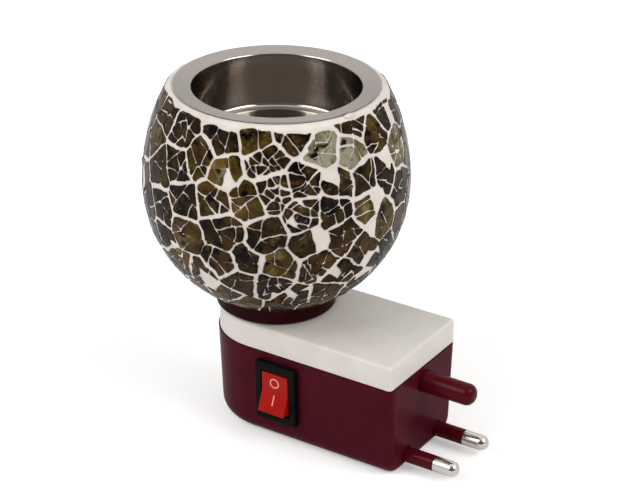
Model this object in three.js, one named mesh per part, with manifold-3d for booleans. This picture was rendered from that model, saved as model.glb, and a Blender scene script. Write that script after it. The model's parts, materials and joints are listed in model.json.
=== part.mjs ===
// A plug-in electric camphor burner: a mosaic glass globe with a loose steel cup in its mouth, standing on a
// two-part plastic housing with a rocker switch on one side and three round plug pins on its end.
// Millimetres, +Z up. The origin lies on the housing's underside, below the globe's axis. +X points to the plug
// pins and -Y to the switch.

import * as THREE from 'three';
import { mergeVertices } from 'three/addons/utils/BufferGeometryUtils.js';
import Module from 'manifold-3d';

const wasm = await Module();
wasm.setup();

// Housing and cover
const HOUSING_WIDTH = 41;
const PLUG_FACE_X = 56;
const ROUND_END_X = 2;
const HOUSING_DRAFT = 1.5;
const HOUSING_EDGE_RADIUS = 4;
const HOUSING_CORNER_RADIUS = 1.2;
const LEAST_CORNER_RADIUS = 0.4;
const HOUSING_WALL = 2;
const HOUSING_FLOOR = 1.6;
const ROUND_END_STEPS = 14;
const COVER_HEIGHT = 8.3;
const COVER_INSET = 0.4;
const COVER_TAPER = 0.3;
const COVER_EDGE_RADIUS = 1.6;
const COVER_LIP_DEPTH = 1.6;
const COVER_LIP_THICKNESS = 1.2;
const COVER_LIP_END_GAP = 6;

// Clearances, how far a cutting solid runs past what it cuts, and how far a face may be from flat
const SEAT_GAP = 0.3;
const SLIP_GAP = 0.25;
const CUT_PAST = 1;
const FLAT_ENOUGH = 0.0005;

// Screws that hold the cover down, put in from below
const SCREW_INSET = 7.5;
const FRONT_POST_GAP = 1.95;
const REAR_POST_GAP = 3;
const SCREW_RADIUS = 1.25;
const SCREW_LENGTH = 17;
const SCREW_HEAD_RADIUS = 2.2;
const SCREW_HEAD_HEIGHT = 1.8;
const SCREW_HEAD_RECESS = 0.6;
const SCREW_HEAD_CHAMFER = 0.6;
const SCREW_POINT = 1;
const SCREW_SIDES = 8;
const POST_RADIUS = 3;
const POST_HEIGHT = 12;

// Collar and globe
const COLLAR_RADIUS = 18.4;
const COLLAR_HEIGHT = 4.3;
const COLLAR_EDGE_RADIUS = 0.9;
const GLOBE_RADIUS = 42.5;
const GLOBE_HEIGHT = 69.4;
const GLOBE_MIDDLE_RISE = 37.6;
const GLOBE_FOOT_RADIUS = 21.8;
const GLOBE_MOUTH_RADIUS = 34.6;
const GLASS_THICKNESS = 2.6;
const SKIN_THICKNESS = 2;
const SKIN_POLE_SHARE = 0.5;
const GLOBE_SEGMENTS = 32;
const GLOBE_STEPS = 6;

// Mosaic shards, set in grout
const SHARD_PITCH = 12;
const SHARD_PROUD = 0.45;
const SHARD_ROOT = 0.6;
const SHARD_JITTER = 0.36;
const SHARD_TILT = 0.04;
const SHARD_LEAST_EDGE = 1.2;
const GROUT_LEAST = 1;
const GROUT_MOST = 2;
const GROUT_BAND_TOP = 3.4;
const GROUT_BAND_FOOT = 1.2;

// Steel cup
const CUP_FLANGE_REST = 2.2;
const CUP_SIDE_GAP = 3;
const CUP_TAPER = 0.5;
const CUP_DEPTH = 18.8;
const CUP_SHEET = 0.6;
const CUP_FLANGE_DISH = 0.7;
const CUP_LIP_RADIUS = 0.75;
const CUP_FLOOR_RADIUS = 1.6;

// Lamp holder and bulb, an E14 pair
const HOLDER_SKIRT_RADIUS = 13.6;
const HOLDER_FLANGE_REST = 1.5;
const HOLDER_FLANGE_HEIGHT = 2.2;
const HOLDER_BODY_RADIUS = 11;
const HOLDER_BODY_HEIGHT = 5.2;
const HOLDER_RISE = 8.5;
const HOLDER_CHAMFER = 1;
const HOLDER_BASE_THICKNESS = 2.2;
const HOLDER_BORE_RADIUS = 8.2;
const HOLDER_SIDES = 18;
const LEAF_THICKNESS = 0.5;
const LEAF_RISE = 1.2;
const LEAF_WIDTH = 3.6;
const LEAF_END_GAP = 1.6;
const LEAF_BEND = 1.5;
const LEAF_TIP = 2.5;
const LEAF_SLANT = 0.3;
const SHELL_THICKNESS = 0.6;
const SHELL_HEIGHT = 18;
const CLAMP_RING_WIDTH = 4.1;
const CLAMP_RING_HEIGHT = 4.5;
const CLAMP_RING_RIBS = 12;
const CLAMP_RING_RIB_DEPTH = 0.9;
const BULB_CAP_RADIUS = 6.95;
const BULB_CAP_HEIGHT = 17.5;
const BULB_CAP_SHEET = 0.45;
const BULB_FOOT_HEIGHT = 1.2;
const BULB_FOOT_RADIUS = 2;
const BULB_FOOT_DOME = 0.8;
const BULB_INSULATOR_HEIGHT = 2.2;
const BULB_INSULATOR_FOOT = 2.6;
const BULB_CAP_HOLE = 3.4;
const BULB_CAP_CORNER = 0.8;
const BULB_RADIUS = 11;
const BULB_LENGTH = 49;
const BULB_GLASS = 0.7;
const BULB_NECK_RADIUS = 6.1;
const BULB_NECK_DEPTH = 12.5;
const BULB_SWELL_START = 3;
const BULB_SWELL_WIDTH = 1.6;
const BULB_SWELL_END = 8;
const BULB_SIDES = 14;
const STEM_TOP_RADIUS = 1.6;
const STEM_FLARE = 3;
const STEM_RISE = 5;
const FILAMENT_WIRE_RADIUS = 0.3;
const FILAMENT_HALF_WIDTH = 5.2;
const FILAMENT_RISE = 12;
const FILAMENT_BOW = 4.4;

// Plug pins of the 6 A round-pin pattern
const PIN_PITCH = 19.05;
const PIN_RADIUS = 2.55;
const PIN_LENGTH = 18.8;
const PIN_SLEEVE_LENGTH = 10.3;
const PIN_CORE_RADIUS = 1.75;
const PIN_TAIL_LENGTH = 6;
const PIN_CUP_DEPTH = 3.2;
const PIN_FLOOR_GAP = 0.45;
const EARTH_OFFSET = 22.2;
const EARTH_RADIUS = 3.55;
const EARTH_LENGTH = 18.4;
const EARTH_TIP_RADIUS = 2.84;
const PIN_SIDES = 12;
const EARTH_SIDES = 16;
const PIN_FLANGE_THICKNESS = 1.4;
const PIN_FLANGE_REACH = 1.2;
const RETAINER_THICKNESS = 2;
const RETAINER_SCREW_INSET = 7.7;
const RETAINER_POST_RADIUS = 2.6;
const RETAINER_SCREW_Z = 15.5;
const RETAINER_SCREW_LENGTH = 4.4;
const RETAINER_MARGIN = 3.2;
const RETAINER_TOP_DROP = 1;

// Rocker switch, seated in the near long wall
const SWITCH_X = 14.1;
const SWITCH_DROP = 12.8;
const BEZEL_WIDTH = 15;
const BEZEL_HEIGHT = 21;
const BEZEL_THICKNESS = 2;
const BEZEL_CORNER_RADIUS = 1;
const BEZEL_RIM = 1.1;
const SWITCH_BODY_DEPTH = 13;
const SWITCH_WALL = 1.2;
const SWITCH_TAB_REACH = 0.8;
const SWITCH_TAB_ROOT = 0.5;
const SWITCH_TAB_LENGTH = 2.6;
const ROCKER_HALF_LENGTH = 6.8;
const ROCKER_END_GAP = 0.9;
const ROCKER_TILT = 12.5;
const ROCKER_PIVOT_OUT = 0.6;
const ROCKER_CROWN = 1.7;
const ROCKER_SKIRT = 1.9;
const ROCKER_STALK_LENGTH = 6;
const ROCKER_STALK_HALF = 2;
const ROCKER_EDGE = 0.5;
const ROCKER_END_LEAN = 0.4;
const TRUNNION_RADIUS = 1.1;
const TRUNNION_LENGTH = 0.9;
const PLUNGER_RADIUS = 0.95;
const PLUNGER_REACH = 8.8;
const PLUNGER_LENGTH = 3.6;
const SPRING_RADIUS = 0.75;
const SPRING_WIRE_RADIUS = 0.17;
const SPRING_TURNS = 4;
const SPRING_LENGTH = 4.6;
const BRIDGE_TILT = 7;
const BRIDGE_HALF_LENGTH = 5.9;
const BRIDGE_THICKNESS = 0.6;
const BRIDGE_WIDTH = 4.5;
const BRIDGE_DEPTH = 8.6;
const BRIDGE_VEE = 0.4;
const CONTACT_RADIUS = 1.2;
const CONTACT_HEIGHT = 0.6;
const TERMINAL_WIDTH = 4.8;
const TERMINAL_THICKNESS = 0.8;
const TERMINAL_REACH = 19.4;
const LOAD_TERMINAL_UP = 5;
const OPEN_CONTACT_GAP = 0.9;
const PIVOT_SIDES = 16;

// Wires and the small screw terminals under the holder
const WIRE_RADIUS = 0.9;
const WIRE_SIDES = 8;
const WIRE_CUP_RADIUS = 1.6;
const WIRE_CUP_LENGTH = 3;
const WIRE_CUP_FLOOR = 0.5;
const WIRE_LEAD = 1.5;
const WIRE_STEPS = 18;
const BLOCK_SIZE = [5, 4.4, 3.6];
const BLOCK_X = -3.5;
const BLOCK_Y = 5;

// Where things lie, worked out from the sizes above
const HALF_WIDTH = HOUSING_WIDTH / 2;
const PIN_Z = HOUSING_FLOOR + PIN_FLOOR_GAP + PIN_RADIUS;
const EARTH_Z = PIN_Z + EARTH_OFFSET;
const HOUSING_HEIGHT = EARTH_Z + EARTH_RADIUS + PIN_FLANGE_REACH + SLIP_GAP;
const WALL_LEAN = Math.atan(HOUSING_DRAFT / HOUSING_HEIGHT);
const COVER_BASE_Z = HOUSING_HEIGHT + SLIP_GAP;
const COVER_TOP_Z = HOUSING_HEIGHT + COVER_HEIGHT;
const COVER_UNDERSIDE_Z = COVER_TOP_Z - HOUSING_WALL;
const COLLAR_BASE_Z = COVER_TOP_Z + SLIP_GAP;
const COLLAR_TOP_Z = COLLAR_BASE_Z + COLLAR_HEIGHT;
const GLOBE_BASE_Z = COLLAR_TOP_Z + SLIP_GAP;
const GLOBE_FLOOR_Z = GLOBE_BASE_Z + GLASS_THICKNESS;
const GLOBE_MIDDLE_Z = GLOBE_BASE_Z + GLOBE_MIDDLE_RISE;
const GLOBE_TOP_Z = GLOBE_BASE_Z + GLOBE_HEIGHT;
const GLOBE_LOWER_HEIGHT = ellipseHeight(GLOBE_MIDDLE_RISE, GLOBE_FOOT_RADIUS);
const GLOBE_UPPER_HEIGHT = ellipseHeight(GLOBE_HEIGHT - GLOBE_MIDDLE_RISE, GLOBE_MOUTH_RADIUS);
const HOLDER_HOLE_RADIUS = HOLDER_SKIRT_RADIUS + SEAT_GAP;
const HOLDER_FLANGE_RADIUS = HOLDER_HOLE_RADIUS + HOLDER_FLANGE_REST;
const HOLDER_TOP_Z = GLOBE_FLOOR_Z + HOLDER_RISE;
const CLAMP_RING_RADIUS = HOLDER_HOLE_RADIUS + CLAMP_RING_WIDTH;
const HOLDER_FLANGE_TOP_Z = COVER_UNDERSIDE_Z - SEAT_GAP;
const HOLDER_FLANGE_BASE_Z = HOLDER_FLANGE_TOP_Z - HOLDER_FLANGE_HEIGHT;
const HOLDER_BASE_Z = HOLDER_FLANGE_BASE_Z - HOLDER_BODY_HEIGHT;
const HOLDER_SEAT_Z = HOLDER_BASE_Z + HOLDER_BASE_THICKNESS;
const LEAF_BASE_Z = HOLDER_SEAT_Z + SEAT_GAP;
const BULB_FOOT_Z = LEAF_BASE_Z + LEAF_THICKNESS + LEAF_RISE + SEAT_GAP;
const INSULATOR_Z = BULB_FOOT_Z + BULB_FOOT_HEIGHT + SLIP_GAP;
const BULB_CAP_Z = INSULATOR_Z + BULB_INSULATOR_HEIGHT + SLIP_GAP;
const BULB_SHOULDER_Z = BULB_CAP_Z + BULB_CAP_HEIGHT;
const BULB_NECK_Z = BULB_SHOULDER_Z - BULB_NECK_DEPTH;
const STEM_TOP_Z = BULB_SHOULDER_Z + STEM_RISE;
const BULB_TOP_Z = BULB_FOOT_Z + BULB_LENGTH;
const MOUTH_RADIUS = globeRadius(GLOBE_TOP_Z, SKIN_THICKNESS + GLASS_THICKNESS);
const CUP_FLANGE_RADIUS = MOUTH_RADIUS + CUP_FLANGE_REST;
const CUP_WALL_RADIUS = MOUTH_RADIUS - CUP_SIDE_GAP - CUP_SHEET;
const CUP_LIP_START = CUP_WALL_RADIUS + CUP_LIP_RADIUS;
const CUP_SEAT_DIP = (CUP_FLANGE_DISH * CUP_FLANGE_REST) / (CUP_FLANGE_RADIUS - CUP_LIP_START);
const CUP_TOP_Z = GLOBE_TOP_Z + SEAT_GAP + CUP_SEAT_DIP + CUP_SHEET;
const CUP_FLOOR_Z = CUP_TOP_Z - CUP_DEPTH;
const END_WALL_X = PLUG_FACE_X - HOUSING_WALL;
const PIN_FLANGE_X = END_WALL_X - SLIP_GAP - PIN_FLANGE_THICKNESS;
const PIN_COLLAR_X = PIN_FLANGE_X - SLIP_GAP - PIN_FLANGE_THICKNESS;
const RETAINER_X = PIN_COLLAR_X - SEAT_GAP - RETAINER_THICKNESS;
const PIN_TAIL_X = PIN_COLLAR_X - PIN_TAIL_LENGTH;
const RETAINER_SCREW_Y = HALF_WIDTH - RETAINER_SCREW_INSET;
const SWITCH_Z = HOUSING_HEIGHT - SWITCH_DROP;
const SWITCH_BODY_WIDTH = BEZEL_WIDTH - 2 * BEZEL_RIM;
const SWITCH_BODY_HEIGHT = BEZEL_HEIGHT - 2 * BEZEL_RIM;
const ROCKER_WIDTH = SWITCH_BODY_WIDTH - 2 * SWITCH_WALL - 2 * SEAT_GAP;
const SCREW_Y = HALF_WIDTH - SCREW_INSET;
const FRONT_SCREWS_X = SWITCH_X + SWITCH_BODY_WIDTH / 2 + FRONT_POST_GAP + POST_RADIUS;
const REAR_SCREWS_X = PIN_TAIL_X - REAR_POST_GAP - POST_RADIUS;
const CONTACT_TOP_DEPTH = BRIDGE_DEPTH + BRIDGE_THICKNESS + CONTACT_HEIGHT;

const degrees = (angle) => THREE.MathUtils.degToRad(angle);
const point2 = (x, y) => new THREE.Vector2(x, y);
const point3 = (x, y, z) => new THREE.Vector3(x, y, z);

// Solids: three.js geometry in, three.js geometry out

function asSolid(geometry) {
  const bare = geometry.clone();
  for (const name of Object.keys(bare.attributes)) {
    if (name !== 'position') bare.deleteAttribute(name);
  }
  const merged = mergeVertices(bare, 1e-5);
  const mesh = new wasm.Mesh({
    numProp: 3,
    vertProperties: new Float32Array(merged.attributes.position.array),
    triVerts: new Uint32Array(merged.index.array),
  });
  mesh.merge();
  return new wasm.Manifold(mesh);
}

// Points that a cut leaves along straight edges and flat faces are dropped
function asGeometry(solid) {
  const mesh = solid.asOriginal().simplify(FLAT_ENOUGH).getMesh();
  const geometry = new THREE.BufferGeometry();
  geometry.setAttribute('position', new THREE.BufferAttribute(mesh.vertProperties, 3));
  geometry.setIndex(new THREE.BufferAttribute(mesh.triVerts, 1));
  return geometry;
}

const join = (first, ...rest) =>
  asGeometry(rest.reduce((solid, next) => solid.add(asSolid(next)), asSolid(first)));
const cut = (first, ...rest) =>
  asGeometry(rest.reduce((solid, next) => solid.subtract(asSolid(next)), asSolid(first)));

function joinAll(pieces) {
  return asGeometry(wasm.Manifold.union(pieces.map(asSolid)));
}

// A closed solid through rings of equal point counts, capped flat at both ends
function loft(rings) {
  const count = rings[0].length;
  const positions = rings.flat().flatMap((point) => [point.x, point.y, point.z]);
  const index = [];
  for (let ring = 0; ring < rings.length - 1; ring += 1) {
    for (let step = 0; step < count; step += 1) {
      const here = ring * count + step;
      const beside = ring * count + ((step + 1) % count);
      index.push(here, beside, beside + count, here, beside + count, here + count);
    }
  }
  const lastRing = (rings.length - 1) * count;
  for (let step = 1; step < count - 1; step += 1) {
    index.push(0, step + 1, step);
    index.push(lastRing, lastRing + step, lastRing + step + 1);
  }
  const geometry = new THREE.BufferGeometry();
  geometry.setAttribute('position', new THREE.Float32BufferAttribute(positions, 3));
  geometry.setIndex(index);
  return geometry;
}

// A solid of revolution about Z from an outline of [radius, z] points, listed anticlockwise
function revolve(outline, segments) {
  const points = outline.map(([radius, z]) => point2(radius, z));
  const onAxis = points[0].x === 0 && points[points.length - 1].x === 0;
  if (!onAxis) points.push(points[0].clone());
  return new THREE.LatheGeometry(points, segments).rotateX(Math.PI / 2);
}

// Points of a round stretch of an outline
function arc(centreX, centreY, radius, from, to, steps) {
  return Array.from({ length: steps + 1 }, (_, step) => {
    const angle = degrees(from + ((to - from) * step) / steps);
    return [centreX + radius * Math.cos(angle), centreY + radius * Math.sin(angle)];
  });
}

function shapeOf(points) {
  return new THREE.Shape(points.map(([x, y]) => point2(x, y)));
}

function slab(shape, height) {
  return new THREE.ExtrudeGeometry(shape, { depth: height, bevelEnabled: false, curveSegments: 6 });
}

function rod(radius, from, to, sides = 12) {
  const height = to.z - from.z + to.x - from.x + to.y - from.y;
  const geometry = new THREE.CylinderGeometry(radius, radius, Math.abs(height), sides);
  if (to.z !== from.z) geometry.rotateX(Math.PI / 2);
  if (to.x !== from.x) geometry.rotateZ(-Math.PI / 2);
  const middle = from.clone().add(to).multiplyScalar(0.5);
  return geometry.translate(middle.x, middle.y, middle.z);
}

function block(sizeX, sizeY, sizeZ, centre) {
  return new THREE.BoxGeometry(sizeX, sizeY, sizeZ).translate(centre.x, centre.y, centre.z);
}

function tube(curve, radius, sides, steps) {
  const section = new THREE.Shape().absarc(0, 0, radius, 0, 2 * Math.PI);
  const points = section.getSpacedPoints(sides).slice(0, sides);
  return new THREE.ExtrudeGeometry(new THREE.Shape(points), { steps, extrudePath: curve, bevelEnabled: false });
}

// Housing and cover share one plan outline: a round end, two straight sides and a square plug end

function planOutline(halfWidth, endX, corner, z) {
  const roundEnd = arc(ROUND_END_X, 0, halfWidth, 90, 270, ROUND_END_STEPS);
  const nearCorner = arc(endX - corner, corner - halfWidth, corner, -90, 0, 2);
  const farCorner = arc(endX - corner, halfWidth - corner, corner, 0, 90, 2);
  return [...roundEnd, ...nearCorner, ...farCorner].map(([x, y]) => point3(x, y, z));
}

// Half width of the tub at a height, a wall's thickness in from the outside, with its rounded lower edge
function tubRings(inset, floorZ, topZ) {
  const edge = HOUSING_EDGE_RADIUS - inset;
  const endX = PLUG_FACE_X - inset;
  const corner = Math.max(HOUSING_CORNER_RADIUS - inset, LEAST_CORNER_RADIUS);
  const drafted = (z) => HALF_WIDTH - inset - (HOUSING_DRAFT * (HOUSING_HEIGHT - z)) / HOUSING_HEIGHT;
  const rounded = arc(-edge, edge, edge, -90, 0, 3);
  const rings = rounded.map(([out, up]) => planOutline(drafted(floorZ + up) + out, endX, corner, floorZ + up));
  return [...rings, planOutline(drafted(topZ), endX, corner, topZ)];
}

function screwPlaces() {
  return [FRONT_SCREWS_X, REAR_SCREWS_X].flatMap((x) => [point3(x, -SCREW_Y, 0), point3(x, SCREW_Y, 0)]);
}

function switchFrame() {
  const frame = new THREE.Group();
  const wallY = -HALF_WIDTH + (HOUSING_DRAFT * (HOUSING_HEIGHT - SWITCH_Z)) / HOUSING_HEIGHT;
  frame.position.set(SWITCH_X, wallY, SWITCH_Z);
  frame.rotation.x = WALL_LEAN;
  frame.updateMatrixWorld(true);
  return frame;
}

// A place given on the switch as across, up the wall and out of it
function switchPoint(across, up, out) {
  return point3(across, -out, up).applyMatrix4(switchFrame().matrixWorld);
}

function pinHole(y, z, radius) {
  const from = point3(END_WALL_X - HOUSING_WALL, y, z);
  return rod(radius + SLIP_GAP, from, point3(PLUG_FACE_X + HOUSING_WALL, y, z), EARTH_SIDES);
}

function retainerPosts() {
  return [-1, 1].map((side) =>
    rod(
      RETAINER_POST_RADIUS,
      point3(PIN_COLLAR_X, side * RETAINER_SCREW_Y, RETAINER_SCREW_Z),
      point3(END_WALL_X + HOUSING_WALL / 2, side * RETAINER_SCREW_Y, RETAINER_SCREW_Z),
    ),
  );
}

function lowerHousing() {
  const shell = cut(
    loft(tubRings(0, 0, HOUSING_HEIGHT)),
    loft(tubRings(HOUSING_WALL, HOUSING_FLOOR, HOUSING_HEIGHT + HOUSING_WALL)),
  );
  const posts = screwPlaces().map((place) =>
    rod(POST_RADIUS, point3(place.x, place.y, HOUSING_FLOOR / 2), point3(place.x, place.y, POST_HEIGHT)),
  );
  const screwHoles = screwPlaces().flatMap((place) => [
    rod(
      SCREW_RADIUS + SEAT_GAP,
      point3(place.x, place.y, -CUT_PAST),
      point3(place.x, place.y, POST_HEIGHT + CUT_PAST),
    ),
    rod(
      SCREW_HEAD_RADIUS + SLIP_GAP,
      point3(place.x, place.y, -CUT_PAST),
      point3(place.x, place.y, SCREW_HEAD_RECESS + SCREW_HEAD_HEIGHT + SEAT_GAP),
    ),
  ]);
  const retainerHoles = [-1, 1].map((side) =>
    rod(
      SCREW_RADIUS + SEAT_GAP,
      point3(PIN_COLLAR_X - CUT_PAST, side * RETAINER_SCREW_Y, RETAINER_SCREW_Z),
      point3(END_WALL_X, side * RETAINER_SCREW_Y, RETAINER_SCREW_Z),
    ),
  );
  const switchHole = block(
    SWITCH_BODY_WIDTH + 2 * SLIP_GAP,
    4 * HOUSING_WALL,
    SWITCH_BODY_HEIGHT + 2 * SLIP_GAP,
    point3(0, 0, 0),
  ).applyMatrix4(switchFrame().matrixWorld);
  return cut(
    join(shell, ...posts, ...retainerPosts()),
    ...screwHoles,
    ...retainerHoles,
    switchHole,
    pinHole(-PIN_PITCH / 2, PIN_Z, PIN_RADIUS),
    pinHole(PIN_PITCH / 2, PIN_Z, PIN_RADIUS),
    pinHole(0, EARTH_Z, EARTH_RADIUS),
  );
}

function coverRing(inset, z) {
  const corner = Math.max(HOUSING_CORNER_RADIUS - inset, LEAST_CORNER_RADIUS);
  return planOutline(HALF_WIDTH - inset, PLUG_FACE_X - inset, corner, z);
}

function topCover() {
  const softEdge = arc(-COVER_EDGE_RADIUS, -COVER_EDGE_RADIUS, COVER_EDGE_RADIUS, 0, 90, 3);
  const outside = loft([
    coverRing(COVER_INSET, COVER_BASE_Z),
    ...softEdge.map(([out, up]) => coverRing(COVER_INSET + COVER_TAPER - out, COVER_TOP_Z + up)),
  ]);
  const lipOuter = HOUSING_WALL + SEAT_GAP;
  const lipInner = lipOuter + COVER_LIP_THICKNESS;
  const wallInner = COVER_INSET + HOUSING_WALL;
  const lipTop = COVER_BASE_Z + COVER_LIP_DEPTH;
  const hollow = join(
    loft([coverRing(lipInner, COVER_BASE_Z - CUT_PAST), coverRing(lipInner, lipTop + CUT_PAST)]),
    loft([coverRing(wallInner, lipTop), coverRing(wallInner, COVER_UNDERSIDE_Z)]),
  );
  const lip = cut(
    loft([coverRing(lipOuter, HOUSING_HEIGHT - COVER_LIP_DEPTH), coverRing(lipOuter, lipTop)]),
    loft([coverRing(lipInner, 0), coverRing(lipInner, COVER_TOP_Z)]),
    block(2 * COVER_LIP_END_GAP, HOUSING_WIDTH, 2 * COVER_BASE_Z, point3(PLUG_FACE_X, 0, 0)),
  );
  const bosses = screwPlaces().map((place) =>
    rod(
      POST_RADIUS,
      point3(place.x, place.y, POST_HEIGHT + SEAT_GAP),
      point3(place.x, place.y, COVER_UNDERSIDE_Z + HOUSING_WALL / 2),
    ),
  );
  const pilots = screwPlaces().map((place) =>
    rod(
      SCREW_RADIUS + SEAT_GAP,
      point3(place.x, place.y, POST_HEIGHT - CUT_PAST),
      point3(place.x, place.y, SCREW_HEAD_RECESS + SCREW_HEAD_HEIGHT + SCREW_LENGTH + CUT_PAST),
    ),
  );
  const holderHole = rod(
    HOLDER_HOLE_RADIUS,
    point3(0, 0, COVER_UNDERSIDE_Z - CUT_PAST),
    point3(0, 0, COVER_TOP_Z + CUT_PAST),
    GLOBE_SEGMENTS,
  );
  return cut(join(cut(outside, hollow), lip, ...bosses), ...pilots, holderHole);
}

function globeCollar() {
  const soft = COLLAR_EDGE_RADIUS;
  return revolve(
    [
      [HOLDER_HOLE_RADIUS, COLLAR_BASE_Z],
      ...arc(COLLAR_RADIUS - soft, COLLAR_BASE_Z + soft, soft, -90, 0, 2),
      ...arc(COLLAR_RADIUS - soft / 2, COLLAR_TOP_Z - soft / 2, soft / 2, 0, 90, 1),
      [HOLDER_HOLE_RADIUS, COLLAR_TOP_Z],
    ],
    GLOBE_SEGMENTS,
  );
}

// The globe's profile: one ellipse below its widest ring and a taller one above, at a depth under the shards

// Half height of the ellipse that narrows from the widest ring to a radius over a rise
function ellipseHeight(rise, radius) {
  return rise / Math.sqrt(1 - (radius / GLOBE_RADIUS) ** 2);
}

function globeRadius(z, depth) {
  const above = z > GLOBE_MIDDLE_Z;
  const height = (above ? GLOBE_UPPER_HEIGHT : GLOBE_LOWER_HEIGHT) - depth * SKIN_POLE_SHARE;
  return (GLOBE_RADIUS - depth) * Math.sqrt(1 - ((z - GLOBE_MIDDLE_Z) / height) ** 2);
}

// Even steps of angle between two heights, as [radius, z]
function globeProfile(fromZ, toZ, depth, steps) {
  const angleOf = (z) => {
    const height = (z > GLOBE_MIDDLE_Z ? GLOBE_UPPER_HEIGHT : GLOBE_LOWER_HEIGHT) - depth * SKIN_POLE_SHARE;
    return Math.asin((z - GLOBE_MIDDLE_Z) / height);
  };
  const from = angleOf(fromZ);
  const to = angleOf(toZ);
  return Array.from({ length: steps + 1 }, (_, step) => {
    const angle = from + ((to - from) * step) / steps;
    const height = (angle > 0 ? GLOBE_UPPER_HEIGHT : GLOBE_LOWER_HEIGHT) - depth * SKIN_POLE_SHARE;
    return [(GLOBE_RADIUS - depth) * Math.cos(angle), GLOBE_MIDDLE_Z + height * Math.sin(angle)];
  });
}

function glassGlobe() {
  const outside = globeProfile(GLOBE_BASE_Z, GLOBE_TOP_Z, SKIN_THICKNESS, GLOBE_STEPS);
  const inside = globeProfile(GLOBE_FLOOR_Z, GLOBE_TOP_Z, SKIN_THICKNESS + GLASS_THICKNESS, GLOBE_STEPS);
  return revolve(
    [
      [HOLDER_HOLE_RADIUS, GLOBE_BASE_Z],
      ...outside,
      ...inside.reverse(),
      [HOLDER_HOLE_RADIUS, GLOBE_FLOOR_Z],
    ],
    GLOBE_SEGMENTS,
  );
}

// Numbers that look random and come out the same every time
function shardRandom() {
  let state = 20261;
  return () => {
    state = (state * 1103515245 + 12345) % 2147483648;
    return state / 2147483648;
  };
}

// Shard centres in staggered rows round the globe, each nudged off its place
function shardCentres(random) {
  const lowZ = GLOBE_BASE_Z + GROUT_BAND_FOOT;
  const highZ = GLOBE_TOP_Z - GROUT_BAND_TOP;
  const fine = globeProfile(lowZ, highZ, 0, 200);
  const lengths = [0];
  for (let step = 1; step < fine.length; step += 1) {
    const run = Math.hypot(fine[step][0] - fine[step - 1][0], fine[step][1] - fine[step - 1][1]);
    lengths.push(lengths[step - 1] + run);
  }
  const total = lengths[lengths.length - 1];
  const atLength = (length) => fine[lengths.findIndex((reached) => reached >= length)];
  const rows = Math.round(total / SHARD_PITCH);
  const centres = [];
  for (let row = 0; row < rows; row += 1) {
    const [rowRadius] = atLength((total * (row + 0.5)) / rows);
    const count = Math.round((2 * Math.PI * rowRadius) / SHARD_PITCH);
    for (let place = 0; place < count; place += 1) {
      const [radius, z] = atLength((total * (row + 0.5 + SHARD_JITTER * (2 * random() - 1))) / rows);
      const turn = (2 * Math.PI * (place + (row % 2) / 2 + SHARD_JITTER * (2 * random() - 1))) / count;
      centres.push(point3(radius * Math.cos(turn), radius * Math.sin(turn), z));
    }
  }
  return centres;
}

function globeNormal(point) {
  const height = point.z > GLOBE_MIDDLE_Z ? GLOBE_UPPER_HEIGHT : GLOBE_LOWER_HEIGHT;
  const lift = ((point.z - GLOBE_MIDDLE_Z) * GLOBE_RADIUS ** 2) / height ** 2;
  return point3(point.x, point.y, lift).normalize();
}

// A flat facet of grout, lying just under the shards' faces
function groutFacet(point, normal, shard) {
  return { seat: point.clone().addScaledVector(normal, -SHARD_PROUD), normal, shard };
}

// One facet behind each shard, and even rings of bare ones for the bands at the mouth and the foot
function groutFacets(random) {
  const facets = shardCentres(random).map((centre) => {
    const lean = point3(random() - 0.5, random() - 0.5, random() - 0.5).multiplyScalar(2 * SHARD_TILT);
    return groutFacet(centre, globeNormal(centre).add(lean).normalize(), true);
  });
  for (const z of [GLOBE_TOP_Z - GROUT_BAND_TOP / 4, GLOBE_BASE_Z + GROUT_BAND_FOOT / 2]) {
    for (let step = 0; step < GLOBE_SEGMENTS; step += 1) {
      const turn = (2 * Math.PI * (step + 0.5)) / GLOBE_SEGMENTS;
      const radius = globeRadius(z, 0);
      const centre = point3(radius * Math.cos(turn), radius * Math.sin(turn), z);
      facets.push(groutFacet(centre, globeNormal(centre), false));
    }
  }
  return facets;
}

// Keeps the part of a polygon behind a plane through a point
function clip(polygon, through, normal) {
  const kept = [];
  polygon.forEach((corner, place) => {
    const next = polygon[(place + 1) % polygon.length];
    const here = corner.clone().sub(through).dot(normal);
    const there = next.clone().sub(through).dot(normal);
    if (here <= 0) kept.push(corner);
    if (here * there < 0) kept.push(corner.clone().lerp(next, here / (here - there)));
  });
  return kept;
}

// A shard covers its facet, less half the grout line along every edge
function shardOutline(facet, facets, grout) {
  const across = point3(0, 0, 1).cross(facet.normal).normalize();
  const up = facet.normal.clone().cross(across);
  let polygon = [[-1, -1], [1, -1], [1, 1], [-1, 1]].map(([a, b]) =>
    facet.seat.clone().addScaledVector(across, a * SHARD_PITCH).addScaledVector(up, b * SHARD_PITCH),
  );
  for (const other of facets) {
    const slope = facet.normal.clone().cross(other.normal).length();
    if (other !== facet && other.seat.distanceTo(facet.seat) < 3 * SHARD_PITCH) {
      const edge = other.seat.clone().addScaledVector(other.normal, (-slope * grout) / 2);
      polygon = clip(polygon, edge, other.normal);
    }
  }
  const farEnough = (corner, place) =>
    corner.distanceTo(polygon[(place + 1) % polygon.length]) > SHARD_LEAST_EDGE;
  return polygon.filter(farEnough);
}

function shards(facets, random) {
  const pieces = [];
  for (const facet of facets.filter((each) => each.shard)) {
    const grout = GROUT_LEAST + (GROUT_MOST - GROUT_LEAST) * random();
    const outline = shardOutline(facet, facets, grout);
    if (outline.length > 2) {
      const root = outline.map((corner) => corner.clone().addScaledVector(facet.normal, -SHARD_ROOT));
      const face = outline.map((corner) => corner.clone().addScaledVector(facet.normal, SHARD_PROUD));
      pieces.push(loft([root, face]));
    }
  }
  return pieces;
}

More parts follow.
